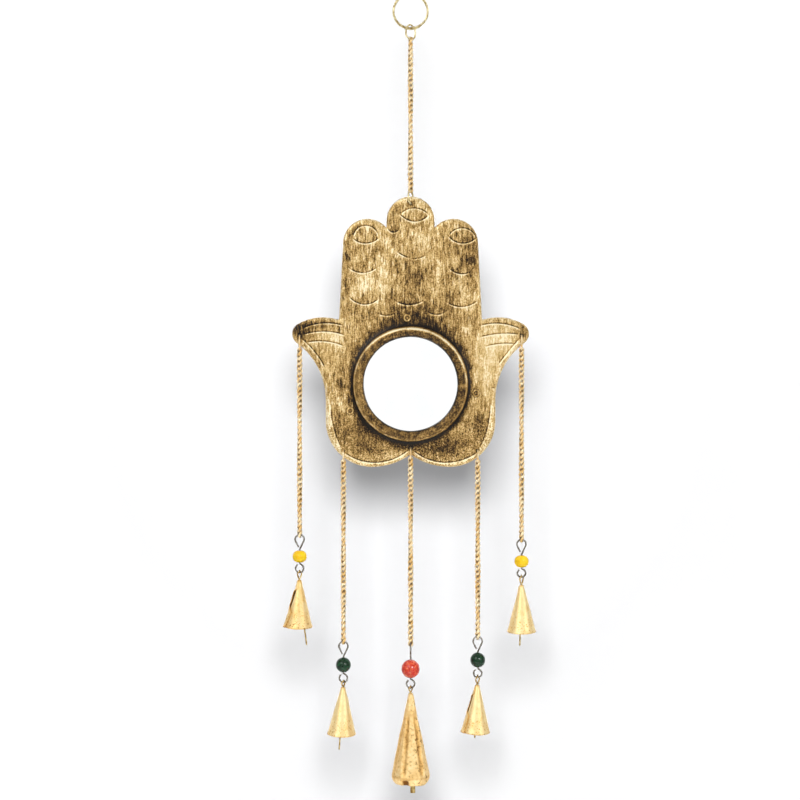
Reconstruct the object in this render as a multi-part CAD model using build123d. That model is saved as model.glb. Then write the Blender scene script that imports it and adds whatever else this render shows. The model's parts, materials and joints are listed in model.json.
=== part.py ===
from build123d import *
import os
from math import asin, atan, cos, radians, sin, sqrt, tan

# Hamsa hand ornament: a pressed sheet hand with a round mirror hangs by a curb chain from a split ring
# and carries five strands, each a curb chain, an eye pin with a glass bead, and a cone bell.
# Millimetres, +Z up, the hand faces -Y. The origin is where a hook carries the ring, at the top of its bore.

# Wires, and the play left where one piece hangs in another
ring_wire = 1.1
jump_wire = 0.9
chain_wire = 0.8
pin_wire = 0.85
bell_wire = 0.8
clapper_wire = 0.75
hang_play = 0.15

# Split ring: two turns side by side, joined by a short step at the lower right
ring_bore = 17.0
ring_turn_gap = 0.45
ring_step_start = -56.0
ring_step_end = -22.0

# Jump links, inside sizes; the turn is the angle of a link's plane from the hand's plane
ring_link_width = 4.4
ring_link_length = 7.2
ring_link_turn = 55.0
plate_link_width = 3.5
finger_link_length = 6.8
thumb_hook_length = 7.2
palm_hook_length = 5.6
jump_link_cut = 0.25

# Curb chain: every link is twisted a quarter turn, and each one turns a little on the link above it
chain_width = 3.2
chain_pitch = 2.6
hanger_upper_links = 16
hanger_lower_links = 15
hanger_chain_turn = 305.0
strand_upper_turn = 180.0

# Hand, measured from the centre of the mirror
sheet = 0.8
rim_depth = 2.4
rim_bend = 1.8
corner_round = 1.0
middle_finger_radius = 12.7
middle_finger_top = 99.4
side_finger_radius = 13.0
side_finger_x = 22.8
side_finger_z = 74.6
finger_foot_x = 37.9
finger_foot_z = 33.9
thumb_tip_radius = 6.0
thumb_tip_x = 56.8
thumb_tip_z = 26.6
thumb_top_angle = 60.0
palm_half_width = 45.0
palm_side_top = -8.5
scallop_radius = 24.4
scallop_bottom = -44.0
palm_notch_z = -37.4

# Holes in the hand
link_hole_radius = 0.95
finger_hole_z = 95.2
thumb_hole_x = 58.8
thumb_hole_z = 25.9
palm_hole_x = 35.6
palm_hole_z = -35.0
middle_hole_z = -33.6

# Chased lines on the front of the hand
line_width = 0.7
line_depth = 0.25
border_inset = 3.7

# Mirror with its rolled bezel, backing plate and three rivets
mirror_radius = 29.6
mirror_thickness = 2.0
mirror_seat_play = 0.1
bezel_sheet = 0.6
bezel_outer_radius = 30.5
bezel_sight_radius = 24.8
bezel_height = 4.0
flange_radius = 32.4
backing_sheet = 0.6
ear_radius = 3.2
rivet_circle = 35.0
rivet_angles = (93.0, 204.0, 352.0)
rivet_shank_radius = 1.0
rivet_head_radius = 2.1
rivet_head_height = 1.0
rivet_tail_radius = 1.7
rivet_tail_height = 0.6

# Eyes bent on the wires: radius of the eye, radius of the bend at its neck, lean of its limbs
pin_top_eye = (2.4, 1.2, 26.0)
pin_low_eye = (2.15, 0.6, 58.0)
bell_long_eye = (1.4, 0.9, 26.0)
bell_short_eye = (1.3, 0.7, 48.0)
bell_low_eye = (1.05, 0.7, 36.0)
clapper_eye = (0.95, 0.6, 36.0)
eye_end_gap = 0.3

# Beads
barrel_bead_radius = 3.8
barrel_bead_height = 6.4
barrel_bead_round = 3.0
green_bead_radius = 4.0
red_bead_radius = 4.9
bead_hole_radius = 0.65
bead_play = 0.2

# Bells: cones rolled from sheet, with a seam that stands open near the tip
bell_sheet = 0.6
bell_tip_radius = 1.1
bell_tip_gap = 0.4
small_bell_radius = 7.5
small_bell_height = 24.4
large_bell_radius = 10.2
large_bell_height = 48.2
large_bell_band = 5.0
seam_width = 0.7
seam_top = 4.5
seam_length = 11.5
clapper_stud_radius = 1.3
clapper_stud_length = 12.0

# Strands from left to right: hole, hook length, links above and below the chain's bend, turn of the lower chain,
# bead, outer eye of the bell's wire, bell, lean of the bell towards the left, direction of its seam, the
# length of clapper that shows below it, and the lean of the clapper towards the left
strands = {
    "left_thumb": dict(hole=(-thumb_hole_x, thumb_hole_z), hook=thumb_hook_length, links=(20, 18),
                       lower_turn=180.0, bead="barrel", bell_eye=bell_long_eye, bell="small",
                       lean=1.5, seam=215.0, clapper_below=10.0, clapper_lean=-8.0),
    "left_palm": dict(hole=(-palm_hole_x, palm_hole_z), hook=palm_hook_length, links=(19, 18),
                      lower_turn=180.0, bead="green", bell_eye=bell_short_eye, bell="small",
                      lean=2.0, seam=60.0, clapper_below=8.5, clapper_lean=4.0),
    "middle": dict(hole=(0.0, middle_hole_z), hook=palm_hook_length, links=(20, 18),
                   lower_turn=270.0, bead="red", bell_eye=bell_short_eye, bell="large",
                   lean=0.0, seam=308.0, clapper_below=4.5, clapper_lean=-1.5),
    "right_palm": dict(hole=(palm_hole_x, palm_hole_z), hook=palm_hook_length, links=(19, 17),
                       lower_turn=180.0, bead="green", bell_eye=bell_long_eye, bell="small",
                       lean=2.5, seam=215.0, clapper_below=3.5, clapper_lean=3.0),
    "right_thumb": dict(hole=(thumb_hole_x, thumb_hole_z), hook=thumb_hook_length, links=(20, 19),
                        lower_turn=180.0, bead="barrel", bell_eye=bell_long_eye, bell="small",
                        lean=0.0, seam=120.0, clapper_below=7.5, clapper_lean=2.0),
}

# Sizes that follow from the ones above
link_length = chain_pitch + chain_wire + hang_play
ring_radius = (ring_bore + ring_wire) / 2
ring_centre_z = -ring_bore / 2
ring_turn_offset = (ring_wire + ring_turn_gap) / 2
ring_low_z = ring_centre_z - ring_radius
plate_front = -rim_depth / 2
plate_back = plate_front + sheet
plate_link_radius = (plate_link_width + jump_wire) / 2
seat_slope = asin(rim_depth / 2 / plate_link_radius)
seat_sag = plate_link_radius * (1 - cos(seat_slope)) + jump_wire / 2 / cos(seat_slope)
hole_seat = link_hole_radius - hang_play - seat_sag
bell_hole_radius = bell_wire / 2 + hang_play

nodes = {}
pivots = {}


def across(turn):
    """Level direction at an angle from +X."""
    return Vector(cos(radians(turn)), sin(radians(turn)), 0)


def drop(upper_wire, lower_wire):
    """Height of a hanging wire's centre over the centre of the wire that it hangs on."""
    return (upper_wire + lower_wire) / 2 + hang_play


def wire_along(edges, wire):
    """Round wire along edges that meet end to end."""
    path = Wire(edges)
    return sweep(Plane(origin=path @ 0, z_dir=path % 0) * Circle(wire / 2), path=path)


def biarc(start, start_way, end, end_way):
    """Two tangent arcs that leave start along start_way and reach end along end_way."""
    chord = end - start
    both = start_way + end_way
    turn = 2 * (1 - start_way.dot(end_way))
    reach = (sqrt(chord.dot(both) ** 2 + turn * chord.dot(chord)) - chord.dot(both)) / turn
    near = start + start_way * reach
    far = end - end_way * reach
    joint = (near + far) * 0.5
    return [TangentArc(start, joint, tangent=start_way), TangentArc(joint, end, tangent=(far - near).normalized())]


def split_ring():
    """Front turn, step and back turn of one wire, in the plane of the hand."""
    def spot(angle, y):
        return Vector(ring_radius * cos(radians(angle)), y, ring_centre_z + ring_radius * sin(radians(angle)))

    def way(angle):
        return Vector(-sin(radians(angle)), 0, cos(radians(angle)))

    first, last = ring_step_end, ring_step_start + 360
    middle = (first + last) / 2
    quarter, three_quarters = (first + middle) / 2, (middle + last) / 2
    front, back = -ring_turn_offset, ring_turn_offset
    turns = []
    for y in (front, back):
        turns.append([ThreePointArc(spot(first, y), spot(quarter, y), spot(middle, y)),
                      ThreePointArc(spot(middle, y), spot(three_quarters, y), spot(last, y))])
    step = biarc(spot(last, front), way(last), spot(first, back), way(first))
    return wire_along(turns[0] + step + turns[1], ring_wire)


def jump_link(width, length, turn):
    """Oval link round the origin with a butted cut in one side."""
    half = (width + jump_wire) / 2
    straight = (length + jump_wire) / 2 - half
    cut = jump_link_cut / 2

    def at(u, z):
        return across(turn) * u + Vector(0, 0, z)

    edges = [
        Line(at(half, -cut), at(half, -straight)),
        ThreePointArc(at(half, -straight), at(0, -straight - half), at(-half, -straight)),
        Line(at(-half, -straight), at(-half, straight)),
        ThreePointArc(at(-half, straight), at(0, straight + half), at(half, straight)),
        Line(at(half, straight), at(half, cut)),
    ]
    return wire_along(edges, jump_wire)


def curb_link():
    """Link round the origin whose top lies along +X and whose bottom is a quarter turn behind it."""
    half = (chain_width - chain_wire) / 2
    top, bottom = Vector(0, 0, link_length / 2), Vector(0, 0, -link_length / 2)
    top_way, bottom_way = across(0), across(-90) * -1
    side = across(-45) * half
    slant = across(45) * (half * radians(90) / link_length)
    down = (Vector(0, 0, -1) - slant).normalized()
    up = (Vector(0, 0, 1) - slant).normalized()
    right = biarc(top, top_way, side, down) + biarc(side, down, bottom, bottom_way)
    left = biarc(bottom, bottom_way, side * -1, up) + biarc(side * -1, up, top, top_way)
    return wire_along(right, chain_wire) + wire_along(left, chain_wire)


def chain(link, count, x, top_z, turn, step):
    """Links down from the wire centre at top_z, each turned by step on the one above it."""
    links = []
    for i in range(count):
        spot = Pos(x, 0, top_z - link_length / 2 - i * chain_pitch)
        links.append(spot * Rot(0, 0, turn + i * step) * link)
    return Compound(children=links)


def eye_size(eye):
    """Straight length of an eye's limbs, and the rise of its far wire centre over the shank's end."""
    radius, neck, lean = eye[0], eye[1], radians(eye[2])
    limb = (radius * cos(lean) - neck * (1 - cos(lean))) / sin(lean)
    rise = (neck + radius) * sin(lean) + limb * cos(lean) + radius
    return limb, rise


def eye_edges(eye, wire, base_z, way, turn):
    """Path of an open eye from the shank's end at base_z to its free end; way is 1 up and -1 down."""
    radius, neck, lean = eye[0], eye[1], radians(eye[2])
    limb, rise = eye_size(eye)

    def at(u, z):
        return across(turn) * u + Vector(0, 0, base_z + way * z)

    def on_limb(run, side):
        return at(side * (neck * (1 - cos(lean)) + run * sin(lean)), neck * sin(lean) + run * cos(lean))

    end_u = (wire + eye_end_gap) / (2 * cos(lean))
    end_run = (end_u - neck * (1 - cos(lean))) / sin(lean)
    return [
        ThreePointArc(at(0, 0), at(neck * (1 - cos(lean / 2)), neck * sin(lean / 2)), on_limb(0, 1)),
        Line(on_limb(0, 1), on_limb(limb, 1)),
        ThreePointArc(on_limb(limb, 1), at(0, rise), on_limb(limb, -1)),
        Line(on_limb(limb, -1), on_limb(end_run, -1)),
    ]


def hand_outline(inset):
    """Outline of the hand, moved inwards by inset, as a face mirrored about x = 0."""
    finger, side, thumb = middle_finger_radius - inset, side_finger_radius - inset, thumb_tip_radius - inset
    palm, scallop = palm_half_width - inset, scallop_radius - inset
    shoulder_z = middle_finger_top - middle_finger_radius
    slope = finger * sin(radians(45))
    shoulder = (finger, shoulder_z)
    notch = (finger, side_finger_z + sqrt(side ** 2 - (side_finger_x - finger) ** 2))
    side_edge = (side_finger_x + side, side_finger_z)
    foot = (finger_foot_x - inset, finger_foot_z - inset)
    top_angle = radians(thumb_top_angle)
    thumb_top = (thumb_tip_x + thumb * cos(top_angle), thumb_tip_z + thumb * sin(top_angle))
    # The curve under the thumb is tangent to the palm's side and to the round of the thumb's tip
    inward, below = palm - thumb_tip_x, palm_side_top - thumb_tip_z
    flank = (inward ** 2 + below ** 2 - thumb ** 2) / (2 * (thumb - inward))
    thumb_middle = Vector(thumb_tip_x, thumb_tip_z)
    thumb_low = thumb_middle + (Vector(palm + flank, palm_side_top) - thumb_middle).normalized() * thumb
    palm_side = (palm, palm_side_top)
    scallop_x, scallop_z = palm_half_width - scallop_radius, scallop_bottom + scallop_radius
    scallop_side = (palm, scallop_z)
    scallop_middle = (scallop_x + scallop * sin(radians(45)), scallop_z - scallop * sin(radians(45)))
    scallop_low = (scallop_x, scallop_z - scallop)
    notch_slope = 2 * atan((palm_notch_z - scallop_bottom) / scallop_x)
    palm_notch = (0, palm_notch_z + inset / cos(notch_slope))
    half = [
        ThreePointArc((0, shoulder_z + finger), (slope, shoulder_z + slope), shoulder),
        Line(shoulder, notch),
        ThreePointArc(notch, (side_finger_x, side_finger_z + side), side_edge),
        Line(side_edge, foot),
        TangentArc(thumb_top, foot, tangent=(-sin(top_angle), cos(top_angle))),
        ThreePointArc(thumb_top, (thumb_tip_x + thumb, thumb_tip_z), thumb_low),
        TangentArc(palm_side, thumb_low, tangent=(0, 1)),
        Line(palm_side, scallop_side),
        ThreePointArc(scallop_side, scallop_middle, scallop_low),
        TangentArc(scallop_low, palm_notch, tangent=(-1, 0)),
    ]
    face = make_face(half + [mirror(edge, about=Plane.YZ) for edge in half])
    corners = []
    for vertex in face.vertices():
        if any(abs(abs(vertex.X) - x) < 0.01 and abs(vertex.Y - z) < 0.01 for x, z in (notch, foot, palm_notch)):
            corners.append(vertex)
    return fillet(corners, corner_round + inset)


def on_plane(y, shape):
    """Flat sketch stood up facing -Y at depth y, with its second axis up."""
    return Plane(origin=(0, y, 0), x_dir=(1, 0, 0), z_dir=(0, -1, 0)) * shape


def rod_y(radius, x, z, y_from, y_to):
    """Round rod along Y."""
    return extrude(on_plane(y_to, Pos(x, z) * Circle(radius)), y_to - y_from)


def chased_lines():
    """Grooves of the nails, finger joints, thumbs and lower border, in the front of the hand."""
    centred = [
        [(-7.4, 89.4), (0, 92.6), (7.4, 89.4)],
        [(-7.4, 89.4), (0, 85.4), (7.4, 89.4)],
        [(-6.8, 69.2), (0, 66.2), (6.8, 69.2)],
        [(-7.2, 44.4), (0, 42.0), (7.2, 44.4)],
    ]
    paired = [
        [(17.6, 78.2), (25.0, 83.4), (32.2, 78.2)],
        [(17.6, 78.2), (25.0, 74.6), (32.2, 78.2)],
        [(18.2, 61.7), (25.4, 58.8), (32.4, 61.6)],
        [(17.3, 45.0), (24.6, 42.2), (32.4, 45.2)],
        [(8.6, 37.6), (13.2, 36.4), (17.6, 37.6)],
        [(36.2, 30.4), (47.5, 32.2), (57.2, 29.6)],
        [(35.6, 25.6), (48.0, 27.6), (55.6, 26.0)],
        [(35.4, 20.2), (45.5, 22.6), (54.2, 21.8)],
        [(57.2, 23.2), (49.6, 15.2), (45.2, 7.2)],
    ]
    lines = [ThreePointArc(*points) for points in centred]
    for points in paired:
        lines.append(ThreePointArc(*points))
        lines.append(ThreePointArc(*[(-x, z) for x, z in points]))
    border_radius = scallop_radius - border_inset
    border_z = scallop_bottom + scallop_radius
    border = ThreePointArc(
        (palm_half_width - border_inset, border_z),
        (palm_half_width - scallop_radius + border_radius * sin(radians(45)), border_z - border_radius * sin(radians(45))),
        (palm_half_width - scallop_radius, border_z - border_radius))
    lines += [border, mirror(border, about=Plane.YZ)]
    return [extrude(on_plane(plate_front + line_depth, trace(line, line_width)), 2 * line_depth) for line in lines]


def hand_plate():
    """Dished sheet: the outline with a rounded front edge, hollowed from behind."""
    block = extrude(on_plane(rim_depth / 2, hand_outline(0)), rim_depth)
    block = fillet(block.faces().sort_by(Axis.Y)[0].edges(), rim_bend)
    hollow = extrude(on_plane(rim_depth / 2, hand_outline(sheet)), rim_depth - sheet)
    hollow = fillet(hollow.faces().sort_by(Axis.Y)[0].edges(), rim_bend - sheet)
    plate = block - hollow
    hole_spots = [strand["hole"] for strand in strands.values()] + [(0, finger_hole_z)]
    cuts = [rod_y(link_hole_radius, x, z, -rim_depth, rim_depth) for x, z in hole_spots]
    cuts.append(rod_y(bezel_outer_radius + hang_play, 0, 0, -rim_depth, rim_depth))
    for angle in rivet_angles:
        spot = across(angle) * rivet_circle
        cuts.append(rod_y(rivet_shank_radius + 0.05, spot.X, spot.Y, -rim_depth, rim_depth))
    return plate - cuts - chased_lines()


def mirror_parts():
    """Bezel, mirror, backing and rivets, stacked from the back of the hand's sheet."""
    flange_back = plate_back + bezel_sheet
    backing_back = flange_back + backing_sheet
    mirror_front = flange_back - mirror_thickness
    lip = mirror_front - mirror_seat_play
    crown = (bezel_outer_radius - bezel_sight_radius) / 2
    crown_r = bezel_sight_radius + crown
    crown_y = plate_front - bezel_height + crown
    profile = make_face([
        Line((flange_radius, plate_back), (bezel_outer_radius, plate_back)),
        Line((bezel_outer_radius, plate_back), (bezel_outer_radius, crown_y)),
        ThreePointArc((bezel_outer_radius, crown_y), (crown_r, crown_y - crown), (bezel_sight_radius, crown_y)),
        Line((bezel_sight_radius, crown_y), (bezel_sight_radius, lip)),
        Line((bezel_sight_radius, lip), (bezel_sight_radius + bezel_sheet, lip)),
        Line((bezel_sight_radius + bezel_sheet, lip), (bezel_sight_radius + bezel_sheet, crown_y)),
        ThreePointArc((bezel_sight_radius + bezel_sheet, crown_y), (crown_r, crown_y - crown + bezel_sheet),
                      (bezel_outer_radius - bezel_sheet, crown_y)),
        Line((bezel_outer_radius - bezel_sheet, crown_y), (bezel_outer_radius - bezel_sheet, flange_back)),
        Line((bezel_outer_radius - bezel_sheet, flange_back), (flange_radius, flange_back)),
        Line((flange_radius, flange_back), (flange_radius, plate_back)),
    ])
    bezel = revolve(profile, Axis.Y)
    glass = rod_y(mirror_radius, 0, 0, mirror_front, flange_back)
    backing = rod_y(flange_radius, 0, 0, flange_back, backing_back)
    rivets = []
    for angle in rivet_angles:
        spot = across(angle) * rivet_circle
        step = rod_y(ear_radius, spot.X, spot.Y, plate_back, backing_back)
        room = rod_y(flange_radius + hang_play, 0, 0, plate_back, flange_back)
        tail_room = rod_y(ear_radius, spot.X, spot.Y, flange_back, backing_back)
        tail_room -= rod_y(flange_radius + backing_sheet, 0, 0, flange_back, backing_back)
        backing += step - room - tail_room
        backing -= rod_y(rivet_shank_radius + 0.05, spot.X, spot.Y, -rim_depth, rim_depth)
        rivets.append(Pos(spot.X, 0, spot.Y) * rivet(flange_back))
    return bezel, glass, backing, Compound(children=rivets)


def rivet(ear_back):
    """Round-head rivet along Y from the front of the sheet to the back of a backing ear."""
    head_ball = (rivet_head_radius ** 2 + rivet_head_height ** 2) / (2 * rivet_head_height)
    head_half = asin(rivet_head_radius / head_ball) / 2
    head_top = plate_front - rivet_head_height
    on_head = (head_ball * sin(head_half), head_top + head_ball * (1 - cos(head_half)))
    tail = ear_back + rivet_tail_height
    profile = make_face([
        Line((0, tail), (0, head_top)),
        ThreePointArc((0, head_top), on_head, (rivet_head_radius, plate_front)),
        Line((rivet_head_radius, plate_front), (rivet_shank_radius, plate_front)),
        Line((rivet_shank_radius, plate_front), (rivet_shank_radius, ear_back)),
        Line((rivet_shank_radius, ear_back), (rivet_tail_radius, ear_back)),
        Line((rivet_tail_radius, ear_back), (rivet_tail_radius * 0.7, tail)),
        Line((rivet_tail_radius * 0.7, tail), (0, tail)),
    ])
    return revolve(profile, Axis.Y)


def bead(kind):
    """Bead round the origin, bored along Z, and its half height at the bore."""
    if kind == "barrel":
        body = Cylinder(barrel_bead_radius, barrel_bead_height)
        body = fillet(body.edges().filter_by(GeomType.CIRCLE), barrel_bead_round)
        half = barrel_bead_height / 2
    else:
        radius = {"green": green_bead_radius, "red": red_bead_radius}[kind]
        body = Sphere(radius)
        half = sqrt(radius ** 2 - bead_hole_radius ** 2)
    return body - Cylinder(bead_hole_radius, 4 * half), half


def bell_slope(kind):
    """Radius at the foot of a bell's cone, height of the cone, and the angle of its side."""
    if kind == "large":
        foot, height = large_bell_radius, large_bell_height - large_bell_band
    else:
        foot, height = small_bell_radius, small_bell_height
    return foot, height, atan((foot - bell_tip_radius) / height)


def bell(kind, seam):
    """Open cone with its tip at the origin and its mouth down."""
    foot, height, slope = bell_slope(kind)
    wall = bell_sheet / cos(slope)
    inside_tip = max(bell_tip_radius - wall, 0.1)
    inside_foot = inside_tip + height * tan(slope)
    body = Pos(0, 0, -height / 2) * Cone(foot, bell_tip_radius, height)
    inside = Pos(0, 0, -height / 2) * Cone(inside_foot, inside_tip, height)
    if kind == "large":
        band_middle = Pos(0, 0, -height - large_bell_band / 2)
        body += band_middle * Cylinder(foot, large_bell_band)
        inside += band_middle * Cylinder(inside_foot, large_bell_band)
    body -= inside
    body -= Cylinder(bell_hole_radius, 4 * bell_tip_radius)
    slit = Pos(foot / 2, 0, -seam_top - seam_length / 2) * Box(foot, seam_width, seam_length)
    return body - Rot(0, 0, seam) * slit


link = curb_link()

# Hanger, from the ring down to the finger hole
nodes["hanging_ring"] = split_ring()
pivots["ring_link_swing"] = (Vector(0, 0, ring_low_z), across(0))

ring_link_bundle = ring_turn_offset + ring_wire / 2
ring_link_z = ring_low_z + ring_link_bundle + 2 * hang_play - ring_link_length / 2
nodes["ring_link"] = Pos(0, 0, ring_link_z) * jump_link(ring_link_width, ring_link_length, ring_link_turn)
ring_link_low = ring_link_z - (ring_link_length + jump_wire) / 2
pivots["hanger_upper_swing"] = (Vector(0, 0, ring_link_low), across(ring_link_turn))

hanger_turn = ring_link_turn + 90
hanger_step = hanger_chain_turn / (hanger_upper_links + hanger_lower_links)
hanger_top = ring_link_low + drop(jump_wire, chain_wire)
nodes["hanger_chain_upper"] = chain(link, hanger_upper_links, 0, hanger_top, hanger_turn, hanger_step)
hanger_bend = hanger_top - hanger_upper_links * chain_pitch
hanger_bend_turn = hanger_turn + hanger_upper_links * hanger_step
nodes["hanger_chain_lower"] = chain(link, hanger_lower_links, 0, hanger_bend, hanger_bend_turn, hanger_step)
pivots["hanger_lower_swing"] = (Vector(0, 0, hanger_bend), across(hanger_bend_turn))

hanger_low = hanger_bend - hanger_lower_links * chain_pitch + chain_pitch - link_length
finger_link_top = hanger_low + drop(jump_wire, chain_wire)
finger_link_z = finger_link_top - (finger_link_length + jump_wire) / 2
nodes["finger_link"] = Pos(0, 0, finger_link_z) * jump_link(plate_link_width, finger_link_length, 90)
pivots["finger_link_swing"] = (Vector(0, 0, hanger_low), across(0))

# Hand and mirror
finger_link_low = finger_link_top - finger_link_length - jump_wire
hand_z = finger_link_low - hole_seat - finger_hole_z
place = Pos(0, 0, hand_z)
nodes["hand_plate"] = place * hand_plate()
bezel, glass, backing, rivets = mirror_parts()
nodes["mirror_bezel"] = place * bezel
nodes["mirror_glass"] = place * glass
nodes["mirror_backing"] = place * backing
nodes["mirror_rivets"] = place * rivets
pivots["hand_swing"] = (Vector(0, 0, hand_z + finger_hole_z), across(90))

# Strands
for name, strand in strands.items():
    x, hole_z = strand["hole"]
    hole_z += hand_z
    hook_top = hole_z - hole_seat
    hook_low = hook_top - strand["hook"] - jump_wire
    nodes[name + "_hook"] = Pos(x, 0, (hook_top + hook_low) / 2) * jump_link(plate_link_width, strand["hook"], 90)
    pivots[name + "_hook_swing"] = (Vector(x, 0, hole_z), across(90))

    upper_links, lower_links = strand["links"]
    chain_top = hook_low + drop(jump_wire, chain_wire)
    upper_step = strand_upper_turn / upper_links
    nodes[name + "_chain_upper"] = chain(link, upper_links, x, chain_top, 0, upper_step)
    pivots[name + "_chain_swing"] = (Vector(x, 0, chain_top), across(0))

    bend = chain_top - upper_links * chain_pitch
    lower_step = strand["lower_turn"] / lower_links
    nodes[name + "_chain_lower"] = chain(link, lower_links, x, bend, strand_upper_turn, lower_step)
    pivots[name + "_chain_bend"] = (Vector(x, 0, bend), across(0))

    # The eye pin takes the place of the next link, so its upper eye carries on the chain's turn
    chain_low = bend - (lower_links - 1) * chain_pitch - link_length
    pin_turn = strand_upper_turn + strand["lower_turn"]
    pin_top = chain_low + drop(chain_wire, pin_wire)
    shank_top = pin_top - eye_size(pin_top_eye)[1]
    bead_body, bead_half = bead(strand["bead"])
    shank_low = shank_top - 2 * (bead_half + bead_play)
    top_eye = eye_edges(pin_top_eye, pin_wire, shank_top, 1, pin_turn)
    low_eye = eye_edges(pin_low_eye, pin_wire, shank_low, -1, 0)
    shank = Line((0, 0, shank_top), (0, 0, shank_low))
    nodes[name + "_pin"] = Pos(x, 0, 0) * wire_along(top_eye[::-1] + [shank] + low_eye, pin_wire)
    pin_hinge_z = chain_low if strand["lower_turn"] % 180 == 0 else pin_top
    pivots[name + "_pin_swing"] = (Vector(x, 0, pin_hinge_z), across(90))

    bead_z = shank_low + bead_play + bead_half
    nodes[name + "_bead"] = Pos(x, 0, bead_z) * bead_body
    pivots[name + "_bead_spin"] = (Vector(x, 0, bead_z), Vector(0, 0, 1))

    # The bell's wire hangs edge on in the pin's lower eye, and its inner eye wedges in the cone
    pin_low = shank_low - eye_size(pin_low_eye)[1]
    hang = drop(pin_wire, bell_wire)
    foot, cone_height, slope = bell_slope(strand["bell"])
    inside_tip = max(bell_tip_radius - bell_sheet / cos(slope), 0.1)
    eye_reach = bell_low_eye[0] + bell_wire / 2 + hang_play
    eye_depth = (eye_reach / cos(slope) - inside_tip) / tan(slope)
    wire_low = eye_depth - (eye_size(bell_low_eye)[1] - bell_low_eye[0])
    tip_drop = eye_size(strand["bell_eye"])[1] + bell_tip_gap
    bell_shank = Line((0, 0, -tip_drop + bell_tip_gap), (0, 0, -tip_drop - wire_low))
    outer_eye = eye_edges(strand["bell_eye"], bell_wire, -tip_drop + bell_tip_gap, 1, 90)
    inner_eye = eye_edges(bell_low_eye, bell_wire, -tip_drop - wire_low, -1, 90)
    lean = Pos(x, 0, pin_low + hang) * Rot(0, strand["lean"], 0)
    nodes[name + "_bell_wire"] = lean * wire_along(outer_eye[::-1] + [bell_shank] + inner_eye, bell_wire)
    nodes[name + "_bell"] = lean * Pos(0, 0, -tip_drop) * bell(strand["bell"], strand["seam"])
    pivots[name + "_bell_swing"] = (Vector(x, 0, pin_low), across(0))

    # The clapper hangs from the inner eye, a little off plumb
    mouth = cone_height + (large_bell_band if strand["bell"] == "large" else 0)
    inner_low = -tip_drop - eye_depth - bell_low_eye[0]
    knot = (lean * Pos(0, 0, inner_low)).position
    rod_top = drop(bell_wire, clapper_wire) - eye_size(clapper_eye)[1]
    rod_low = -(mouth + tip_drop + inner_low) - strand["clapper_below"]
    rod = Line((0, 0, rod_top), (0, 0, rod_low))
    clapper = wire_along(eye_edges(clapper_eye, clapper_wire, rod_top, 1, 0)[::-1] + [rod], clapper_wire)
    if strand["bell"] == "large":
        stud = Cylinder(clapper_stud_radius, clapper_stud_length, align=(Align.CENTER, Align.CENTER, Align.MIN))
        clapper += Pos(0, 0, rod_low) * stud
    nodes[name + "_clapper"] = Pos(knot) * Rot(0, strand["clapper_lean"], 0) * clapper
    pivots[name + "_clapper_swing"] = (knot, across(90))

os.makedirs("parts", exist_ok=True)
for name, shape in nodes.items():
    export_step(shape, os.path.join("parts", name + ".step"))
print(len(nodes), "nodes, mirror centre at z", round(hand_z, 2))
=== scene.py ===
import json
import math
import bpy
import bmesh
import numpy as np
from mathutils import Matrix, Vector, kdtree, noise
from mathutils.geometry import delaunay_2d_cdt


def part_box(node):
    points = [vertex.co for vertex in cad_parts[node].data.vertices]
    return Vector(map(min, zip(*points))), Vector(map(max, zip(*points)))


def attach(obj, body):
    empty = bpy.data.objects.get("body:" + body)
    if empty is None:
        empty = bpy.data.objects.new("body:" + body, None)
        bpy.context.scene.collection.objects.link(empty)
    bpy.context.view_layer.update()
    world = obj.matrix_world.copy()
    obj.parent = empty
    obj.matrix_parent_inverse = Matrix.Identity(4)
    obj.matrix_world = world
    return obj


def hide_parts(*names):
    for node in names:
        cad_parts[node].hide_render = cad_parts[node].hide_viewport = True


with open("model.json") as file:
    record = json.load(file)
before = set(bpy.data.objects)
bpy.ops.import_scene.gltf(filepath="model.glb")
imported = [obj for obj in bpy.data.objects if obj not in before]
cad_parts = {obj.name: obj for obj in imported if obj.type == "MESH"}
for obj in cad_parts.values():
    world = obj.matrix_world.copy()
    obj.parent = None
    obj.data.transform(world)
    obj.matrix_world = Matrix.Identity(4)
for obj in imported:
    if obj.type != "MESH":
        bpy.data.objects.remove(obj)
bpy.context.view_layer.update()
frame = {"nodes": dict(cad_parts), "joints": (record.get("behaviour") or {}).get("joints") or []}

mm = 0.001
cadNodes = frame["nodes"]
hinges = {joint["name"]: np.array(joint["pos_m"]) for joint in frame["joints"]}
glassLow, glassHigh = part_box("mirror_glass")
mirrorZ = (glassLow.z + glassHigh.z) / 2 / mm  # height of the mirror's centre
print("frame loaded,", len(cadNodes), "nodes")


def linear(hexColour):
    parts = [int(hexColour[i:i + 2], 16) / 255 for i in (1, 3, 5)]
    return tuple(p / 12.92 if p <= 0.04045 else ((p + 0.055) / 1.055) ** 2.4 for p in parts) + (1.0,)


def addNode(tree, kind, inputs=(), **settings):
    # inputs by name or number, or a plain row in the order of the sockets; a node stands for its first output
    made = tree.nodes.new(kind)
    for name, value in settings.items():
        if name != "stops":
            setattr(made, name, value)
            continue
        band = made.color_ramp.elements
        band[0].position, band[1].position = value[0][0], value[-1][0]
        band[0].color, band[1].color = linear(value[0][1]), linear(value[-1][1])
        for place, colour in value[1:-1]:
            band.new(place).color = linear(colour)
    for socket, value in inputs.items() if isinstance(inputs, dict) else enumerate(inputs):
        if isinstance(value, bpy.types.Node):
            value = value.outputs[0]
        if isinstance(value, bpy.types.NodeSocket):
            tree.links.new(value, made.inputs[socket])
        else:
            made.inputs[socket].default_value = value
    return made


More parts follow.
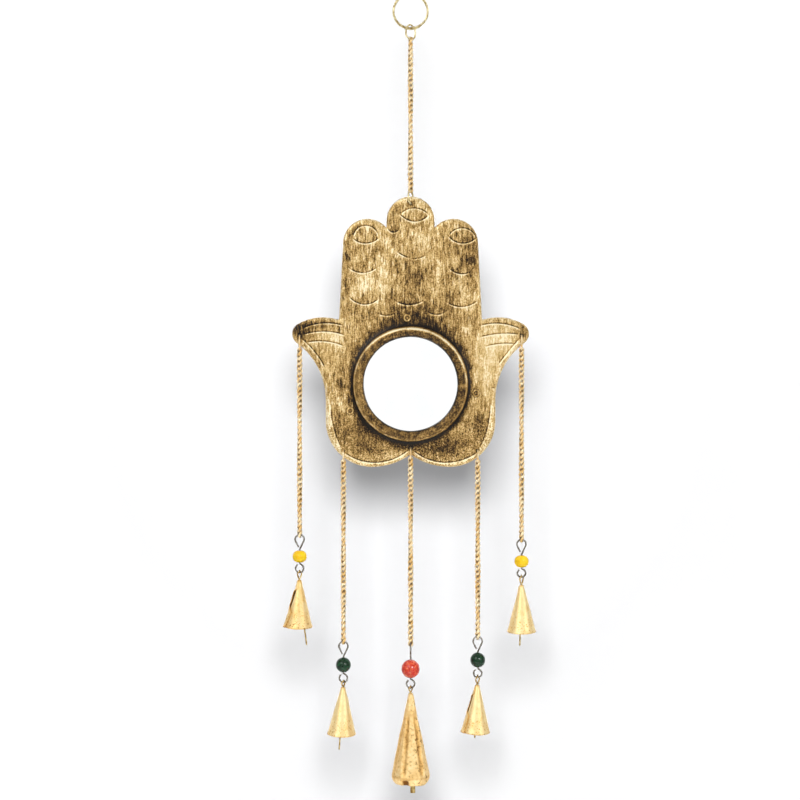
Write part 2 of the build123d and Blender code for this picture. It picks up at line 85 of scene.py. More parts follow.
def newMaterial(name, *patterns):
    # each pattern is a noise: its size in mm, detail and roughness
    material = bpy.data.materials.new(name)
    material.use_nodes = True
    tree = material.node_tree
    tree.nodes.clear()
    coords = addNode(tree, "ShaderNodeTexCoord").outputs["Object"]
    noises = [addNode(tree, "ShaderNodeTexNoise", {
        "Vector": coords, "Scale": 1 / (size * mm), "Detail": detail, "Roughness": roughness})
        for size, detail, roughness in patterns]
    return material, tree, coords, *noises


def addUp(tree, level, *parts):
    # the level plus each source times its gain
    for source, gain in parts:
        level = addNode(tree, "ShaderNodeMath", (source, gain, level), operation="MULTIPLY_ADD")
    return level


def finishMaterial(material, look, sheen, inputs, bumps=None):
    # sheen drives the roughness over the look's range, bumps the relief by its strength and depth
    tree = material.node_tree
    inputs["Roughness"] = addNode(tree, "ShaderNodeMapRange", (sheen, *look["rough"]))
    if bumps is not None:
        strength, depth = look["relief"]
        inputs["Normal"] = addNode(tree, "ShaderNodeBump", {
            "Height": bumps, "Strength": strength, "Distance": depth * mm})
    shader = addNode(tree, "ShaderNodeBsdfPrincipled", inputs)
    addNode(tree, "ShaderNodeOutputMaterial", {"Surface": shader})
    return material


def smoothstep(low, high, value):
    t = np.clip((value - low) / (high - low), 0.0, 1.0)
    return t * t * (3 - 2 * t)


def ripple(amount, often, spot):
    return amount * noise.noise(spot * often)


# Sheet iron under black lacquer, dry-brushed with gold paint: fine streaks of gold over near-black brown
lacquerLook = {
    "streakWidth": 0.8, "streakLength": 4.6, "wander": 0.7,
    "speck": (0.7, 2.0, 0.6), "patch": (6.0, 3.0, 0.55),
    "streakGain": 1.7, "speckGain": 0.9, "patchGain": 0.6, "grooveShade": -0.5, "lipHighlight": 0.5,
    "colours": ((0.0, "#160F07"), (0.2, "#433016"), (0.4, "#8B6B3A"), (0.56, "#BB985C"),
                (0.74, "#DFC084"), (1.0, "#FCF0CC")),
    "metal": (0.2, 0.75, 0.15, 0.85), "rough": (0.1, 0.7, 0.33, 0.46), "relief": (0.35, 0.04),
}


def goldBrushedLacquer(name, cover=None):
    look = lacquerLook
    material, tree, coords, speck, patch = newMaterial(name, look["speck"], look["patch"])
    across, along = 1 / (look["streakWidth"] * mm), 1 / (look["streakLength"] * mm)
    lengthwise = addNode(tree, "ShaderNodeMapping", {"Vector": coords, "Scale": (across, across, along)})
    streak = addNode(tree, "ShaderNodeTexNoise", {
        "Vector": lengthwise, "Scale": 1.0, "Detail": 3.0, "Roughness": 0.62, "Distortion": look["wander"]})
    mottle, calm, groove, lip = (addNode(tree, "ShaderNodeAttribute", attribute_name=title).outputs["Fac"]
                                 for title in ("mottle", "calm", "groove", "lip"))
    # the gold cover holds the gold together with the painted shadows and highlights laid on it
    if cover is None:
        cover = addNode(tree, "ShaderNodeAttribute", attribute_name="goldCover").outputs["Fac"]
    brushed = addNode(tree, "ShaderNodeMix", {0: mottle, 2: streak, 3: speck})
    lively = addNode(tree, "ShaderNodeMath", (1.0, calm), operation="SUBTRACT")
    gains = [look[title] for title in ("streakGain", "speckGain", "patchGain")]
    level = addUp(tree, -0.5 * sum(gains), *zip((brushed, speck, patch), gains))  # a noise is 0.5 on average
    # painted shade in the chased grooves and a painted highlight on the lip below each, from the groove and
    # lip attributes
    level = addUp(tree, cover, (level, lively), (groove, look["grooveShade"]), (lip, look["lipHighlight"]))
    colour = addNode(tree, "ShaderNodeValToRGB", (level,), stops=look["colours"])
    metal = addNode(tree, "ShaderNodeMapRange", (level, *look["metal"]))
    return finishMaterial(material, look, level, {
        "Base Color": colour, "Metallic": metal, "Specular IOR Level": 0.2}, bumps=level)


# Iron chain and wire flashed with brass: pale gold on the crowns of the links, brown painted shade where they
# face inward and hide each other
chainLook = {"tarnish": (2.2, 3.0, 0.6), "grain": (0.35, 1.0, 0.5),
             "gold": "#E0B874", "pale": "#FFF0CC", "brown": "#3E240E", "worn": (0.38, 0.66),
             "rough": (0.3, 0.7, 0.42, 0.26), "relief": (0.12, 0.03)}


def brassFlashedIron():
    look = chainLook
    material, tree, _, tarnish, grain = newMaterial("brassFlashedIron", look["tarnish"], look["grain"])
    crevice = addNode(tree, "ShaderNodeAttribute", attribute_name="crevice").outputs["Fac"]
    worn = addNode(tree, "ShaderNodeMapRange", (tarnish, *look["worn"]))
    crown = addNode(tree, "ShaderNodeMix", {0: worn, 6: linear(look["gold"]), 7: linear(look["pale"])},
                    data_type="RGBA")
    colour = addNode(tree, "ShaderNodeMix", {0: crevice, 6: crown.outputs[2], 7: linear(look["brown"])},
                     data_type="RGBA")
    return finishMaterial(material, look, tarnish, {
        "Base Color": colour.outputs[2], "Metallic": 1.0}, bumps=grain)


# Drawn wire, annealed and bent by hand: bright metal with a dull bloom and faint die marks
wireLook = {"bloom": (1.8, 4.0, 0.65), "dullTo": 0.36, "brightFrom": 0.6,
            "rough": (0.3, 0.7, 0.55, 0.34), "relief": (0.15, 0.04)}
# The last, dark pair is for the bells' insides: a dark copy of the brass, painted shade
wireColours = {"annealedIronWire": ("#8C8880", "#5A4C3C"), "dullBrassWire": ("#D2B878", "#8E6E3A"),
               "paleBrassWire": ("#F0E4B4", "#8E743C"), "sootedBrass": ("#6E5228", "#2C1E0E")}


def drawnWire(name):
    look = wireLook
    bright, dull = wireColours[name]
    material, tree, _, bloom = newMaterial(name, look["bloom"])
    colour = addNode(tree, "ShaderNodeValToRGB", (bloom,), stops=(
        (look["dullTo"], dull), (look["brightFrom"], bright)))
    return finishMaterial(material, look, bloom, {"Base Color": colour, "Metallic": 1.0}, bumps=bloom)


# Brass-plated sheet, rolled: satin, with soft lengthwise marks, brown heat stains and specks near the mouth,
# darker bare edges, and painted shade along the seam
bellLook = {"rollMark": 0.9, "markLength": 9.0, "stain": (4.5, 4.0, 0.6), "speck": (0.8, 2.0, 0.5),
            "ground": 0.12, "stainGain": 0.9, "rollGain": 0.35, "spots": (0.57, 0.68, 0.0, 0.7),
            "spotGain": -1.0, "seamGain": -0.6,
            "colours": ((0.0, "#8A5A24"), (0.3, "#D2A258"), (0.55, "#EBC681"), (1.0, "#F8E2AC")),
            "rough": (0.3, 0.9, 0.58, 0.46), "relief": (0.2, 0.05)}


def brassPlatedSheet():
    look = bellLook
    material, tree, coords, stain, speck = newMaterial("brassPlatedSheet", look["stain"], look["speck"])
    across, along = 1 / (look["rollMark"] * mm), 1 / (look["markLength"] * mm)
    lengthwise = addNode(tree, "ShaderNodeMapping", {"Vector": coords, "Scale": (across, across, along)})
    rollMark = addNode(tree, "ShaderNodeTexNoise", {"Vector": lengthwise, "Scale": 1.0, "Detail": 3.0})
    mouth, edge = (addNode(tree, "ShaderNodeAttribute", attribute_name=title).outputs["Fac"]
                   for title in ("mouth", "seamShade"))
    spots = addNode(tree, "ShaderNodeMapRange", (speck, *look["spots"]))
    spots = addNode(tree, "ShaderNodeMath", (spots, mouth), operation="MULTIPLY")
    level = addUp(tree, look["ground"], (stain, look["stainGain"]), (rollMark, look["rollGain"]),
                  (spots, look["spotGain"]), (edge, look["seamGain"]))
    colour = addNode(tree, "ShaderNodeValToRGB", (level,), stops=look["colours"])
    return finishMaterial(material, look, level, {"Base Color": colour, "Metallic": 1.0}, bumps=level)


# Beaten brass of the large bell: matt, pitted all over, brown in the pits, darker in the folds, and painted
# shade in the punched notch, the tuck and its crease
beatenLook = {"pits": (1.3, 2.0, 0.5), "tone": (5.0, 4.0, 0.65),
              "pitGain": 0.7, "toneGain": 0.7, "foldAndShadeGain": -0.4,
              "deepPit": (0.41, 0.28), "pitDark": "#6A4418",
              "colours": ((0.0, "#7A4E1E"), (0.4, "#DAAE68"), (0.7, "#F0CE90"), (1.0, "#FAE2AE")),
              "rough": (0.3, 0.7, 0.56, 0.42), "relief": (0.5, 0.12)}


def beatenBrass():
    look = beatenLook
    material, tree, _, tone, pits = newMaterial("beatenBrass", look["tone"], look["pits"])
    mouth, fold = (addNode(tree, "ShaderNodeAttribute", attribute_name=title).outputs["Fac"]
                   for title in ("mouth", "fold"))
    level = addUp(tree, 0.0, (pits, look["pitGain"]), (tone, look["toneGain"]), (fold, look["foldAndShadeGain"]))
    tint = addNode(tree, "ShaderNodeValToRGB", (level,), stops=look["colours"])
    deep = addNode(tree, "ShaderNodeMapRange", (pits, *look["deepPit"]))
    deep = addNode(tree, "ShaderNodeMath", (deep, mouth), operation="MULTIPLY")
    colour = addNode(tree, "ShaderNodeMix", {0: deep, 6: tint, 7: linear(look["pitDark"])}, data_type="RGBA")
    return finishMaterial(material, look, tone, {
        "Base Color": colour.outputs[2], "Metallic": 0.95}, bumps=pits)


# Silvered glass: a clean mirror with the faintest haze
mirrorLook = {"haze": (18.0, 3.0, 0.5), "colours": ((0.35, "#F8FAFA"), (0.6, "#FCFDFD")),
              "rough": (0.3, 0.7, 0.05, 0.02)}


def silveredGlass():
    look = mirrorLook
    material, tree, _, haze = newMaterial("silveredGlass", look["haze"])
    colour = addNode(tree, "ShaderNodeValToRGB", (haze,), stops=look["colours"])
    return finishMaterial(material, look, haze, {"Base Color": colour, "Metallic": 1.0})


# Tinned sheet: large pale crystals that differ a little in tone, and light scuffs
tinLook = {"crystal": 6.0, "scuff": (1.2, 3.0, 0.5), "scuffGain": 0.5,
           "colours": ((0.2, "#8E8F8C"), (1.0, "#C4C5C0")), "rough": (0.2, 1.0, 0.5, 0.32)}


def tinnedSheet():
    look = tinLook
    material, tree, coords, scuff = newMaterial("tinnedSheet", look["scuff"])
    crystal = addNode(tree, "ShaderNodeTexVoronoi", {"Vector": coords, "Scale": 1 / (look["crystal"] * mm)})
    tone = addNode(tree, "ShaderNodeSeparateColor", {"Color": crystal.outputs["Color"]})
    level = addUp(tree, tone, (scuff, look["scuffGain"]))
    colour = addNode(tree, "ShaderNodeValToRGB", (level,), stops=look["colours"])
    return finishMaterial(material, look, level, {"Base Color": colour, "Metallic": 1.0})


# Pressed and lamp-wound glass: clear gloss over colour that swirls inside
glassLook = {
    "amberGlass": {"swirl": (2.6, 3.0, 0.55), "clear": 0.12, "coat": 0.15,
                   "colours": ((0.3, "#E2A800"), (0.5, "#ECC000"), (0.75, "#F2D828"))},
    "bottleGreenGlass": {"swirl": (3.0, 3.0, 0.55), "clear": 0.1, "coat": 0.0,
                         "colours": ((0.3, "#03190B"), (0.55, "#0A3219"), (0.8, "#1C4E2C"))},
    "marbledRedGlass": {"swirl": (2.0, 3.0, 0.55), "clear": 0.25, "coat": 0.2,
                        "colours": ((0.3, "#A81408"), (0.5, "#D23A24"), (0.62, "#E66A40"),
                                    (0.78, "#F7B490"))},
}
glassGloss = {"wander": 1.4, "rough": (0.3, 0.7, 0.06, 0.13), "bend": 1.52, "shine": 0.25, "coatRough": 0.03}


def glassBead(name):
    look, gloss = glassLook[name], glassGloss
    material, tree, _, swirl = newMaterial(name, look["swirl"])
    swirl.inputs["Distortion"].default_value = gloss["wander"]
    colour = addNode(tree, "ShaderNodeValToRGB", (swirl,), stops=look["colours"])
    return finishMaterial(material, gloss, swirl, {
        "Base Color": colour, "IOR": gloss["bend"], "Specular IOR Level": gloss["shine"],
        "Transmission Weight": look["clear"], "Coat Weight": look["coat"],
        "Coat Roughness": gloss["coatRough"]})


handPaint = goldBrushedLacquer("goldBrushedLacquer")
backPaint = goldBrushedLacquer("blackLacquerBack", cover=0.2)
chainMetal = brassFlashedIron()
pinWire, bellWire, ringWire, bellInside = (drawnWire(name) for name in wireColours)
bellSheet = brassPlatedSheet()
largeBellBrass = beatenBrass()
print("materials made")


def paintPoints(mesh, values):
    for title, numbers in values.items():
        layer = mesh.attributes.new(title, "FLOAT", "POINT")
        layer.data.foreach_set("value", np.asarray(numbers, np.float32))


def newObject(name, points, faces, values=None, edges=()):
    mesh = bpy.data.meshes.new(name)
    mesh.from_pydata((np.asarray(points, float) * mm).tolist(), edges, faces)
    paintPoints(mesh, values or {})
    obj = bpy.data.objects.new(name, mesh)
    bpy.context.scene.collection.objects.link(obj)
    return obj


def bakeModifiers(obj):
    bpy.context.view_layer.update()
    graph = bpy.context.evaluated_depsgraph_get()
    mesh = bpy.data.meshes.new_from_object(
        obj.evaluated_get(graph), preserve_all_data_layers=True, depsgraph=graph)
    obj.modifiers.clear()
    obj.data = mesh
    mesh.name = obj.name


def thicken(obj, sheet, materials):
    # the sheet grows inwards, and its inside takes the second material
    for material in materials:
        obj.data.materials.append(material)
    wall = obj.modifiers.new("sheet", "SOLIDIFY")
    wall.thickness, wall.offset, wall.material_offset = sheet * mm, -1.0, 1
    bakeModifiers(obj)


def settle(obj, body, standsFor, sharpAngle):
    obj.data.shade_smooth()
    obj.data.set_sharp_from_angle(angle=math.radians(sharpAngle))
    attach(obj, body)
    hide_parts(standsFor)
    print(obj.name, len(obj.data.polygons), "faces")


# Outline of the hand, in mm from the mirror's centre
handSizes = {
    "fingerRadius": 12.7, "fingerTop": 99.4,
    "sideRadius": 13.0, "sideX": 22.8, "sideZ": 74.6,
    "footX": 37.9, "footZ": 33.9,
    "thumbRadius": 6.0, "thumbX": 56.8, "thumbZ": 26.6, "thumbTopAngle": 60.0,
    "palmWidth": 45.0, "palmTop": -8.5,
    "scallopRadius": 24.4, "scallopBottom": -44.0, "palmNotch": -37.4, "cornerReach": 1.3,
    "front": -1.2, "bend": 1.8, "rimBack": 1.2, "sheet": 0.7, "sharpAngle": 50.0,
    "holeRadius": 0.52, "mirrorHole": 30.62, "coveReach": 3.2, "coveRise": 0.9,
}
chainHoles = ((0.0, 95.5), (-58.8, 25.6), (58.8, 25.6), (-35.6, -35.3), (35.6, -35.3), (0.0, -33.9))

# How finely the sheet is cut up: rows over the bend (degrees) and the cove (share), and the room points keep
meshSizes = {
    "edgeStep": 0.6, "holeSides": 20, "mirrorSides": 320,
    "gridStep": 0.62, "gridReach": 70.0, "gridTall": 1.5,
    "bendRows": (72, 54, 36, 18, 0), "coveRows": (0.12, 0.28, 0.48, 0.72, 1.0),
    "rowRoom": 0.14, "gridRoom": 0.36, "edgeRoom": 0.06, "holeRoom": 0.25, "mirrorRoom": 0.2,
    "bendToGrid": 0.3, "coveToGrid": 0.4, "foldBack": 0.03,
    "mirrorSlack": 0.005, "holeShare": 0.985, "batch": 1500,
}


def arcThrough(a, b, c, step):
    a, b, c = (np.array(p, float) for p in (a, b, c))
    ab, ac = b - a, c - a
    area = 2 * (ab[0] * ac[1] - ab[1] * ac[0])
    lift = np.array([ac[1] * ab.dot(ab) - ab[1] * ac.dot(ac), ab[0] * ac.dot(ac) - ac[0] * ab.dot(ab)]) / area
    centre, radius = a + lift, np.linalg.norm(lift)
    angles = [math.atan2(*(p - centre)[::-1]) for p in (a, b, c)]
    way = 1 if area > 0 else -1
    sweep = (angles[2] - angles[0]) * way % (2 * math.pi) * way
    count = max(int(abs(sweep) * radius / step), 2)
    turn = angles[0] + np.linspace(0, sweep, count + 1)
    return centre + radius * np.column_stack((np.cos(turn), np.sin(turn)))


def tangentArc(start, way, end, step):
    start, way, end = (np.array(p, float) for p in (start, way, end))
    chord = end - start
    normal = np.array([-way[1], way[0]])
    radius = chord.dot(chord) / (2 * normal.dot(chord))
    centre = start + normal * radius
    half = math.atan2(normal.dot(chord), way.dot(chord))
    halfTurn = np.array([[math.cos(half), -math.sin(half)], [math.sin(half), math.cos(half)]])
    return arcThrough(start, centre + halfTurn @ (start - centre), end, step)


def straight(a, b, step):
    count = max(int(math.dist(a, b) / step), 1)
    return np.linspace(np.array(a, float), np.array(b, float), count + 1)


def ringOf(radius, count):
    turn = np.linspace(0, 2 * math.pi, count, endpoint=False)
    return radius * np.column_stack((np.cos(turn), np.sin(turn)))


def leftOf(ahead):
    return np.column_stack((-ahead[:, 1], ahead[:, 0])) / np.linalg.norm(ahead, axis=1)[:, None]


def handOutline():
    size, step = handSizes, meshSizes["edgeStep"]
    finger, thumb, scallop = size["fingerRadius"], size["thumbRadius"], size["scallopRadius"]
    thumbX, thumbZ, palm = size["thumbX"], size["thumbZ"], size["palmWidth"]
    shoulder = (finger, size["fingerTop"] - finger)
    slope = finger * math.sin(math.radians(45))
    aside = size["sideX"] - finger
    notch = (finger, size["sideZ"] + math.sqrt(size["sideRadius"] ** 2 - aside ** 2))
    sideEdge = (size["sideX"] + size["sideRadius"], size["sideZ"])
    foot = (size["footX"], size["footZ"])
    topAngle = math.radians(size["thumbTopAngle"])
    thumbTop = (thumbX + thumb * math.cos(topAngle), thumbZ + thumb * math.sin(topAngle))
    inward, below = palm - thumbX, size["palmTop"] - thumbZ
    flank = (inward ** 2 + below ** 2 - thumb ** 2) / (2 * (thumb - inward))
    way = Vector((palm + flank - thumbX, size["palmTop"] - thumbZ)).normalized()
    thumbLow = (thumbX + way.x * thumb, thumbZ + way.y * thumb)
    palmSide = (palm, size["palmTop"])
    scallopX, scallopZ = palm - scallop, size["scallopBottom"] + scallop
    scallopLow = (scallopX, size["scallopBottom"])
    bulge = scallop * math.sin(math.radians(45))
    runs = [
        arcThrough((0, size["fingerTop"]), (slope, shoulder[1] + slope), shoulder, step),
        straight(shoulder, notch, step),
        arcThrough(notch, (size["sideX"], size["sideZ"] + size["sideRadius"]), sideEdge, step),
        straight(sideEdge, foot, step),
        tangentArc(thumbTop, (-math.sin(topAngle), math.cos(topAngle)), foot, step)[::-1],
        arcThrough(thumbTop, (thumbX + thumb, thumbZ), thumbLow, step),
        tangentArc(palmSide, (0, 1), thumbLow, step)[::-1],
        straight(palmSide, (palm, scallopZ), step),
        arcThrough((palm, scallopZ), (scallopX + bulge, scallopZ - bulge), scallopLow, step),
        tangentArc(scallopLow, (-1, 0), (0, size["palmNotch"]), step),
    ]
    half = np.vstack([runs[0]] + [run[1:] for run in runs[1:]])
    for corner in (notch, foot):  # a small round in the notches
        near = np.where(np.linalg.norm(half - np.array(corner), axis=1) < size["cornerReach"])[0]
        start, end = half[near[0]].copy(), half[near[-1]].copy()
        t = np.linspace(0, 1, near[-1] - near[0] + 1)[:, None]
        half[near[0]:near[-1] + 1] = (1 - t) ** 2 * start + 2 * t * (1 - t) * np.array(corner) + t ** 2 * end
    whole = np.vstack((half, (half * (-1, 1))[-2:0:-1]))
    return whole[::-1]


def nearestOn(points, line, closed=False):
    starts = line if closed else line[:-1]
    runs = (np.roll(line, -1, 0) if closed else line[1:]) - starts
    squares = (runs * runs).sum(1)
    best, spots = np.zeros(len(points)), np.zeros_like(points)
    for first in range(0, len(points), meshSizes["batch"]):
        batch = slice(first, first + meshSizes["batch"])
        part = points[batch, None, :]
        t = np.clip(((part - starts) * runs).sum(-1) / squares, 0, 1)
        feet = starts + runs * t[..., None]
        gap = ((part - feet) ** 2).sum(-1)
        pick = gap.argmin(1)
        rows = np.arange(len(pick))
        best[batch], spots[batch] = np.sqrt(gap[rows, pick]), feet[rows, pick]
    return best, spots


def insideOf(points, loop):
    found = np.zeros(len(points), bool)
    far = np.roll(loop, -1, 0)
    rise = np.where(far[:, 1] == loop[:, 1], 1e-12, far[:, 1] - loop[:, 1])
    for first in range(0, len(points), meshSizes["batch"]):
        batch = slice(first, first + meshSizes["batch"])
        x, z = points[batch, 0:1], points[batch, 1:2]
        spans = (loop[:, 1] > z) != (far[:, 1] > z)
        left = x < (far[:, 0] - loop[:, 0]) * (z - loop[:, 1]) / rise + loop[:, 0]
        found[batch] = (spans & left).sum(1) % 2 == 1
    return found


# Chased lines: start, middle and end of each arc in mm from the mirror's centre, and how deep it is cut
chasedArcs = [
    ((-30.6, 77.4), (-23.6, 84.0), (-16.8, 77.6), 0.8), ((-30.6, 77.4), (-23.6, 74.6), (-16.8, 77.6), 1.0),
    ((-5.4, 90.0), (1.8, 93.2), (9.6, 89.6), 0.8), ((-5.4, 90.0), (2.2, 86.2), (9.6, 89.6), 1.0),
    ((20.1, 78.4), (27.3, 82.7), (34.8, 77.6), 0.9), ((20.1, 78.4), (27.3, 74.6), (34.8, 77.6), 1.0),
    ((-32.6, 61.7), (-25.7, 59.0), (-17.9, 62.0), 0.9), ((-32.1, 46.0), (-23.9, 42.3), (-17.1, 45.1), 1.0),
    ((-6.7, 69.9), (-4.0, 68.2), (-1.2, 66.9), 1.2), ((1.0, 66.4), (4.4, 66.7), (7.7, 68.1), 0.7),
    ((-7.7, 44.0), (-0.8, 42.0), (6.8, 44.4), 0.9),
    ((20.6, 61.3), (26.7, 58.4), (31.4, 59.3), 1.0), ((20.1, 42.9), (27.2, 41.0), (34.7, 43.7), 0.9),
    ((-17.5, 37.7), (-13.3, 36.4), (-8.4, 37.3), 0.8), ((9.3, 38.2), (14.4, 36.9), (18.3, 38.2), 0.8),
    ((-57.3, 29.5), (-48.0, 32.2), (-36.0, 31.2), 1.0), ((-56.6, 26.3), (-49.0, 27.9), (-35.4, 26.2), 1.0),
    ((-54.5, 22.2), (-45.5, 22.8), (-35.4, 20.3), 1.0), ((-57.4, 24.0), (-49.6, 15.8), (-45.2, 8.6), 0.9),
    ((36.8, 31.0), (47.4, 32.2), (58.2, 29.2), 1.0), ((36.8, 24.9), (48.3, 26.9), (57.0, 26.5), 1.0),
    ((40.0, 20.1), (48.5, 21.6), (55.0, 21.4), 1.0), ((57.4, 24.0), (52.6, 18.4), (46.2, 10.2), 0.9),
    ((42.8, -2.1), (43.7, -2.0), (44.6, -2.1), 0.8), ((-2.6, 52.0), (-2.3, 53.4), (-2.4, 55.0), 0.6),
    ((-12.0, 83.0), (-9.3, 80.4), (-6.1, 82.2), 0.9),
]
borderArcs = [((-42.0, -8.0), (-41.2, -20.5), (-36.6, -33.6), 0.7),
              ((-34.4, -36.6), (-19.5, -41.4), (-1.6, -35.2), 1.1)]
borderArcs += [tuple((-x, z) for x, z in arc[:3]) + arc[3:] for arc in borderArcs]
chaseSizes = {"width": 0.3, "depth": 0.3, "lipOffset": 0.62, "lipWidth": 0.3, "lipRise": 0.12, "step": 0.45,
              "endDepth": 0.35, "endReach": 2.0, "reach": 2.0,
              "rows": (-1.0, -0.75, -0.5, -0.25, 0.0, 0.25, 0.5, 0.8)}


def sheetPoints(loops, lines):
    # rows along the bent edge, the cove round the mirror and the chased lines, then a plain grid, thinned out
    size, fine, outline = handSizes, meshSizes, loops[0]
    inward = leftOf(np.roll(outline, -1, 0) - np.roll(outline, 1, 0))
    rows = []
    for angle in fine["bendRows"]:
        depth = size["bend"] * (1 - math.sin(math.radians(angle)))
        row = outline + inward * depth
        rows.append(row[nearestOn(row, outline, True)[0] > depth - fine["foldBack"]])
    for share in fine["coveRows"]:
        rows.append(ringOf(size["mirrorHole"] + share * size["coveReach"], fine["mirrorSides"]))
    for line, _ in lines:
        aside = leftOf(np.gradient(line, axis=0))
        rows += [line + aside * offset for offset in chaseSizes["rows"]]
    step, reach = fine["gridStep"], math.ceil(fine["gridReach"] / fine["gridStep"])
    top = int(reach * fine["gridTall"])
    columns, ranks = np.meshgrid(np.arange(-reach, reach + 1), np.arange(-reach, top))
    gridX, gridZ = (columns + 0.5 * (ranks % 2)) * step, ranks * step * math.sqrt(0.75)
    grid = np.column_stack((gridX.ravel(), gridZ.ravel()))
    points = np.vstack(rows + [grid])
    firstGrid = len(points) - len(grid)
    fromMirror = np.linalg.norm(points, axis=1) - size["mirrorHole"]
    keep = insideOf(points, outline) & (fromMirror > fine["mirrorRoom"])
    keep[firstGrid:] &= fromMirror[firstGrid:] > size["coveReach"] + fine["coveToGrid"]
    for hole in chainHoles:
        keep &= np.linalg.norm(points - hole, axis=1) > size["holeRadius"] + fine["holeRoom"]
    kept = np.where(keep)[0]
    edge, _ = nearestOn(points[kept], outline, True)
    kept = kept[(edge > fine["edgeRoom"]) & ((kept < firstGrid) | (edge > size["bend"] + fine["bendToGrid"]))]
    points, inGrid = points[kept], kept >= firstGrid
    tree = kdtree.KDTree(len(points))
    for i, point in enumerate(points):
        tree.insert((*point, 0), i)
    tree.balance()
    dropped = np.zeros(len(points), bool)
    for i, point in enumerate(points):
        if dropped[i]:
            continue
        for _, other, gap in tree.find_range((*point, 0), step):
            room = fine["gridRoom"] if inGrid[other] else fine["rowRoom"]
            if other > i and gap < room:
                dropped[other] = True
    return points[~dropped]


def handSheet(loops, lines):
    size, fine, outline = handSizes, meshSizes, loops[0]
    spots = np.vstack(loops + [sheetPoints(loops, lines)])
    edges, start = [], 0
    for loop in loops:
        edges += [(start + i, start + (i + 1) % len(loop)) for i in range(len(loop))]
        start += len(loop)
    made = delaunay_2d_cdt([Vector(p) for p in spots], edges, [], 0, 1e-6)
    flat = np.array([tuple(p) for p in made[0]])
    faces = np.array([f for f in made[2] if len(f) == 3])
    middle = flat[faces].mean(1)
    keep = np.linalg.norm(middle, axis=1) > size["mirrorHole"] - fine["mirrorSlack"]
    keep &= insideOf(middle, outline)
    for hole in chainHoles:
        keep &= np.linalg.norm(middle - hole, axis=1) > size["holeRadius"] * fine["holeShare"]
    faces = faces[keep]
    a, b, c = (flat[faces[:, i]] for i in range(3))
    turnedOver = (b[:, 0] - a[:, 0]) * (c[:, 1] - a[:, 1]) - (b[:, 1] - a[:, 1]) * (c[:, 0] - a[:, 0]) < 0
    faces[turnedOver] = faces[turnedOver][:, ::-1]
    madeFrom = {ids[0]: i for i, ids in enumerate(made[3]) if ids}
    print("hand sheet:", len(flat), "points", len(faces), "triangles")
    return flat, faces, [madeFrom[i] for i in range(len(outline))]


# What the press leaves: a border round the palm's foot, creases between the fingers, waves in the sheet.
# Each wave: its height, how often it comes across and up, and its layer of the noise
pressSizes = {
    "borderTop": (-4.0, -14.0), "borderWidth": 3.7, "borderDepth": 0.35,
    "narrowAt": (-36.0, -40.0), "narrowBy": 1.3,
    "creaseWidth": 2.0, "creaseDepth": 0.3, "creaseSpread": 0.03, "creaseTop": 84.0,
    "creaseFades": (44.0, 66.0), "creaseEnds": (88.0, 80.0),
    "waves": ((0.14, 0.05, 0.05, 3.1), (0.05, 0.16, 0.13, 7.7)), "calmRound": 4.0,
}


def palmBorder(z):
    size = pressSizes
    width = size["borderWidth"] - size["narrowBy"] * smoothstep(*size["narrowAt"], z)
    return smoothstep(*size["borderTop"], z), width


def sheetDepth(flat, edge, lines):
    # depth at each point, positive to the back, with the chased grooves and their lips
    size, press, chase = handSizes, pressSizes, chaseSizes
    x, z = flat[:, 0], flat[:, 1]
    fromMirror = np.linalg.norm(flat, axis=1) - size["mirrorHole"]
    bent = np.clip(1 - edge / size["bend"], 0, 1)
    depth = size["front"] + size["bend"] * (1 - np.sqrt(np.maximum(1 - bent ** 2, 0)))
    lower, borderWidth = palmBorder(z)
    depth += press["borderDepth"] * lower * np.clip(1 - edge / borderWidth, 0, 1)
    depth -= size["coveRise"] * np.clip(1 - fromMirror / size["coveReach"], 0, 1) ** 2
    creaseX = size["fingerRadius"] + press["creaseSpread"] * (press["creaseTop"] - z)
    crease = np.exp(-((np.abs(x) - creaseX) / press["creaseWidth"]) ** 2)
    crease *= smoothstep(*press["creaseFades"], z) * smoothstep(*press["creaseEnds"], z)
    depth += press["creaseDepth"] * crease
    waves = [sum(height * noise.noise(Vector((px * across, pz * up, layer)))
                 for height, across, up, layer in press["waves"]) for px, pz in flat]
    depth += np.array(waves) * (1 - bent) * smoothstep(0, press["calmRound"], fromMirror)
    groove, lip = np.zeros(len(flat)), np.zeros(len(flat))
    for line, strength in lines:
        low, high = line.min(0) - chase["reach"], line.max(0) + chase["reach"]
        near = np.where(((flat > low) & (flat < high)).all(1))[0]
        gap, feet = nearestOn(flat[near], line)
        signed = np.where(z[near] > feet[:, 1], gap, -gap)
        ends = np.minimum(np.linalg.norm(feet - line[0], axis=1), np.linalg.norm(feet - line[-1], axis=1))
        taper = chase["endDepth"] + (1 - chase["endDepth"]) * smoothstep(0, chase["endReach"], ends)
        taper *= strength
        cut = taper * np.exp(-(gap / chase["width"]) ** 2)
        raised = taper * np.exp(-((signed + chase["lipOffset"]) / chase["lipWidth"]) ** 2)
        groove[near], lip[near] = np.maximum(groove[near], cut), np.maximum(lip[near], raised)
    return depth + chase["depth"] * groove - chase["lipRise"] * lip, groove, lip


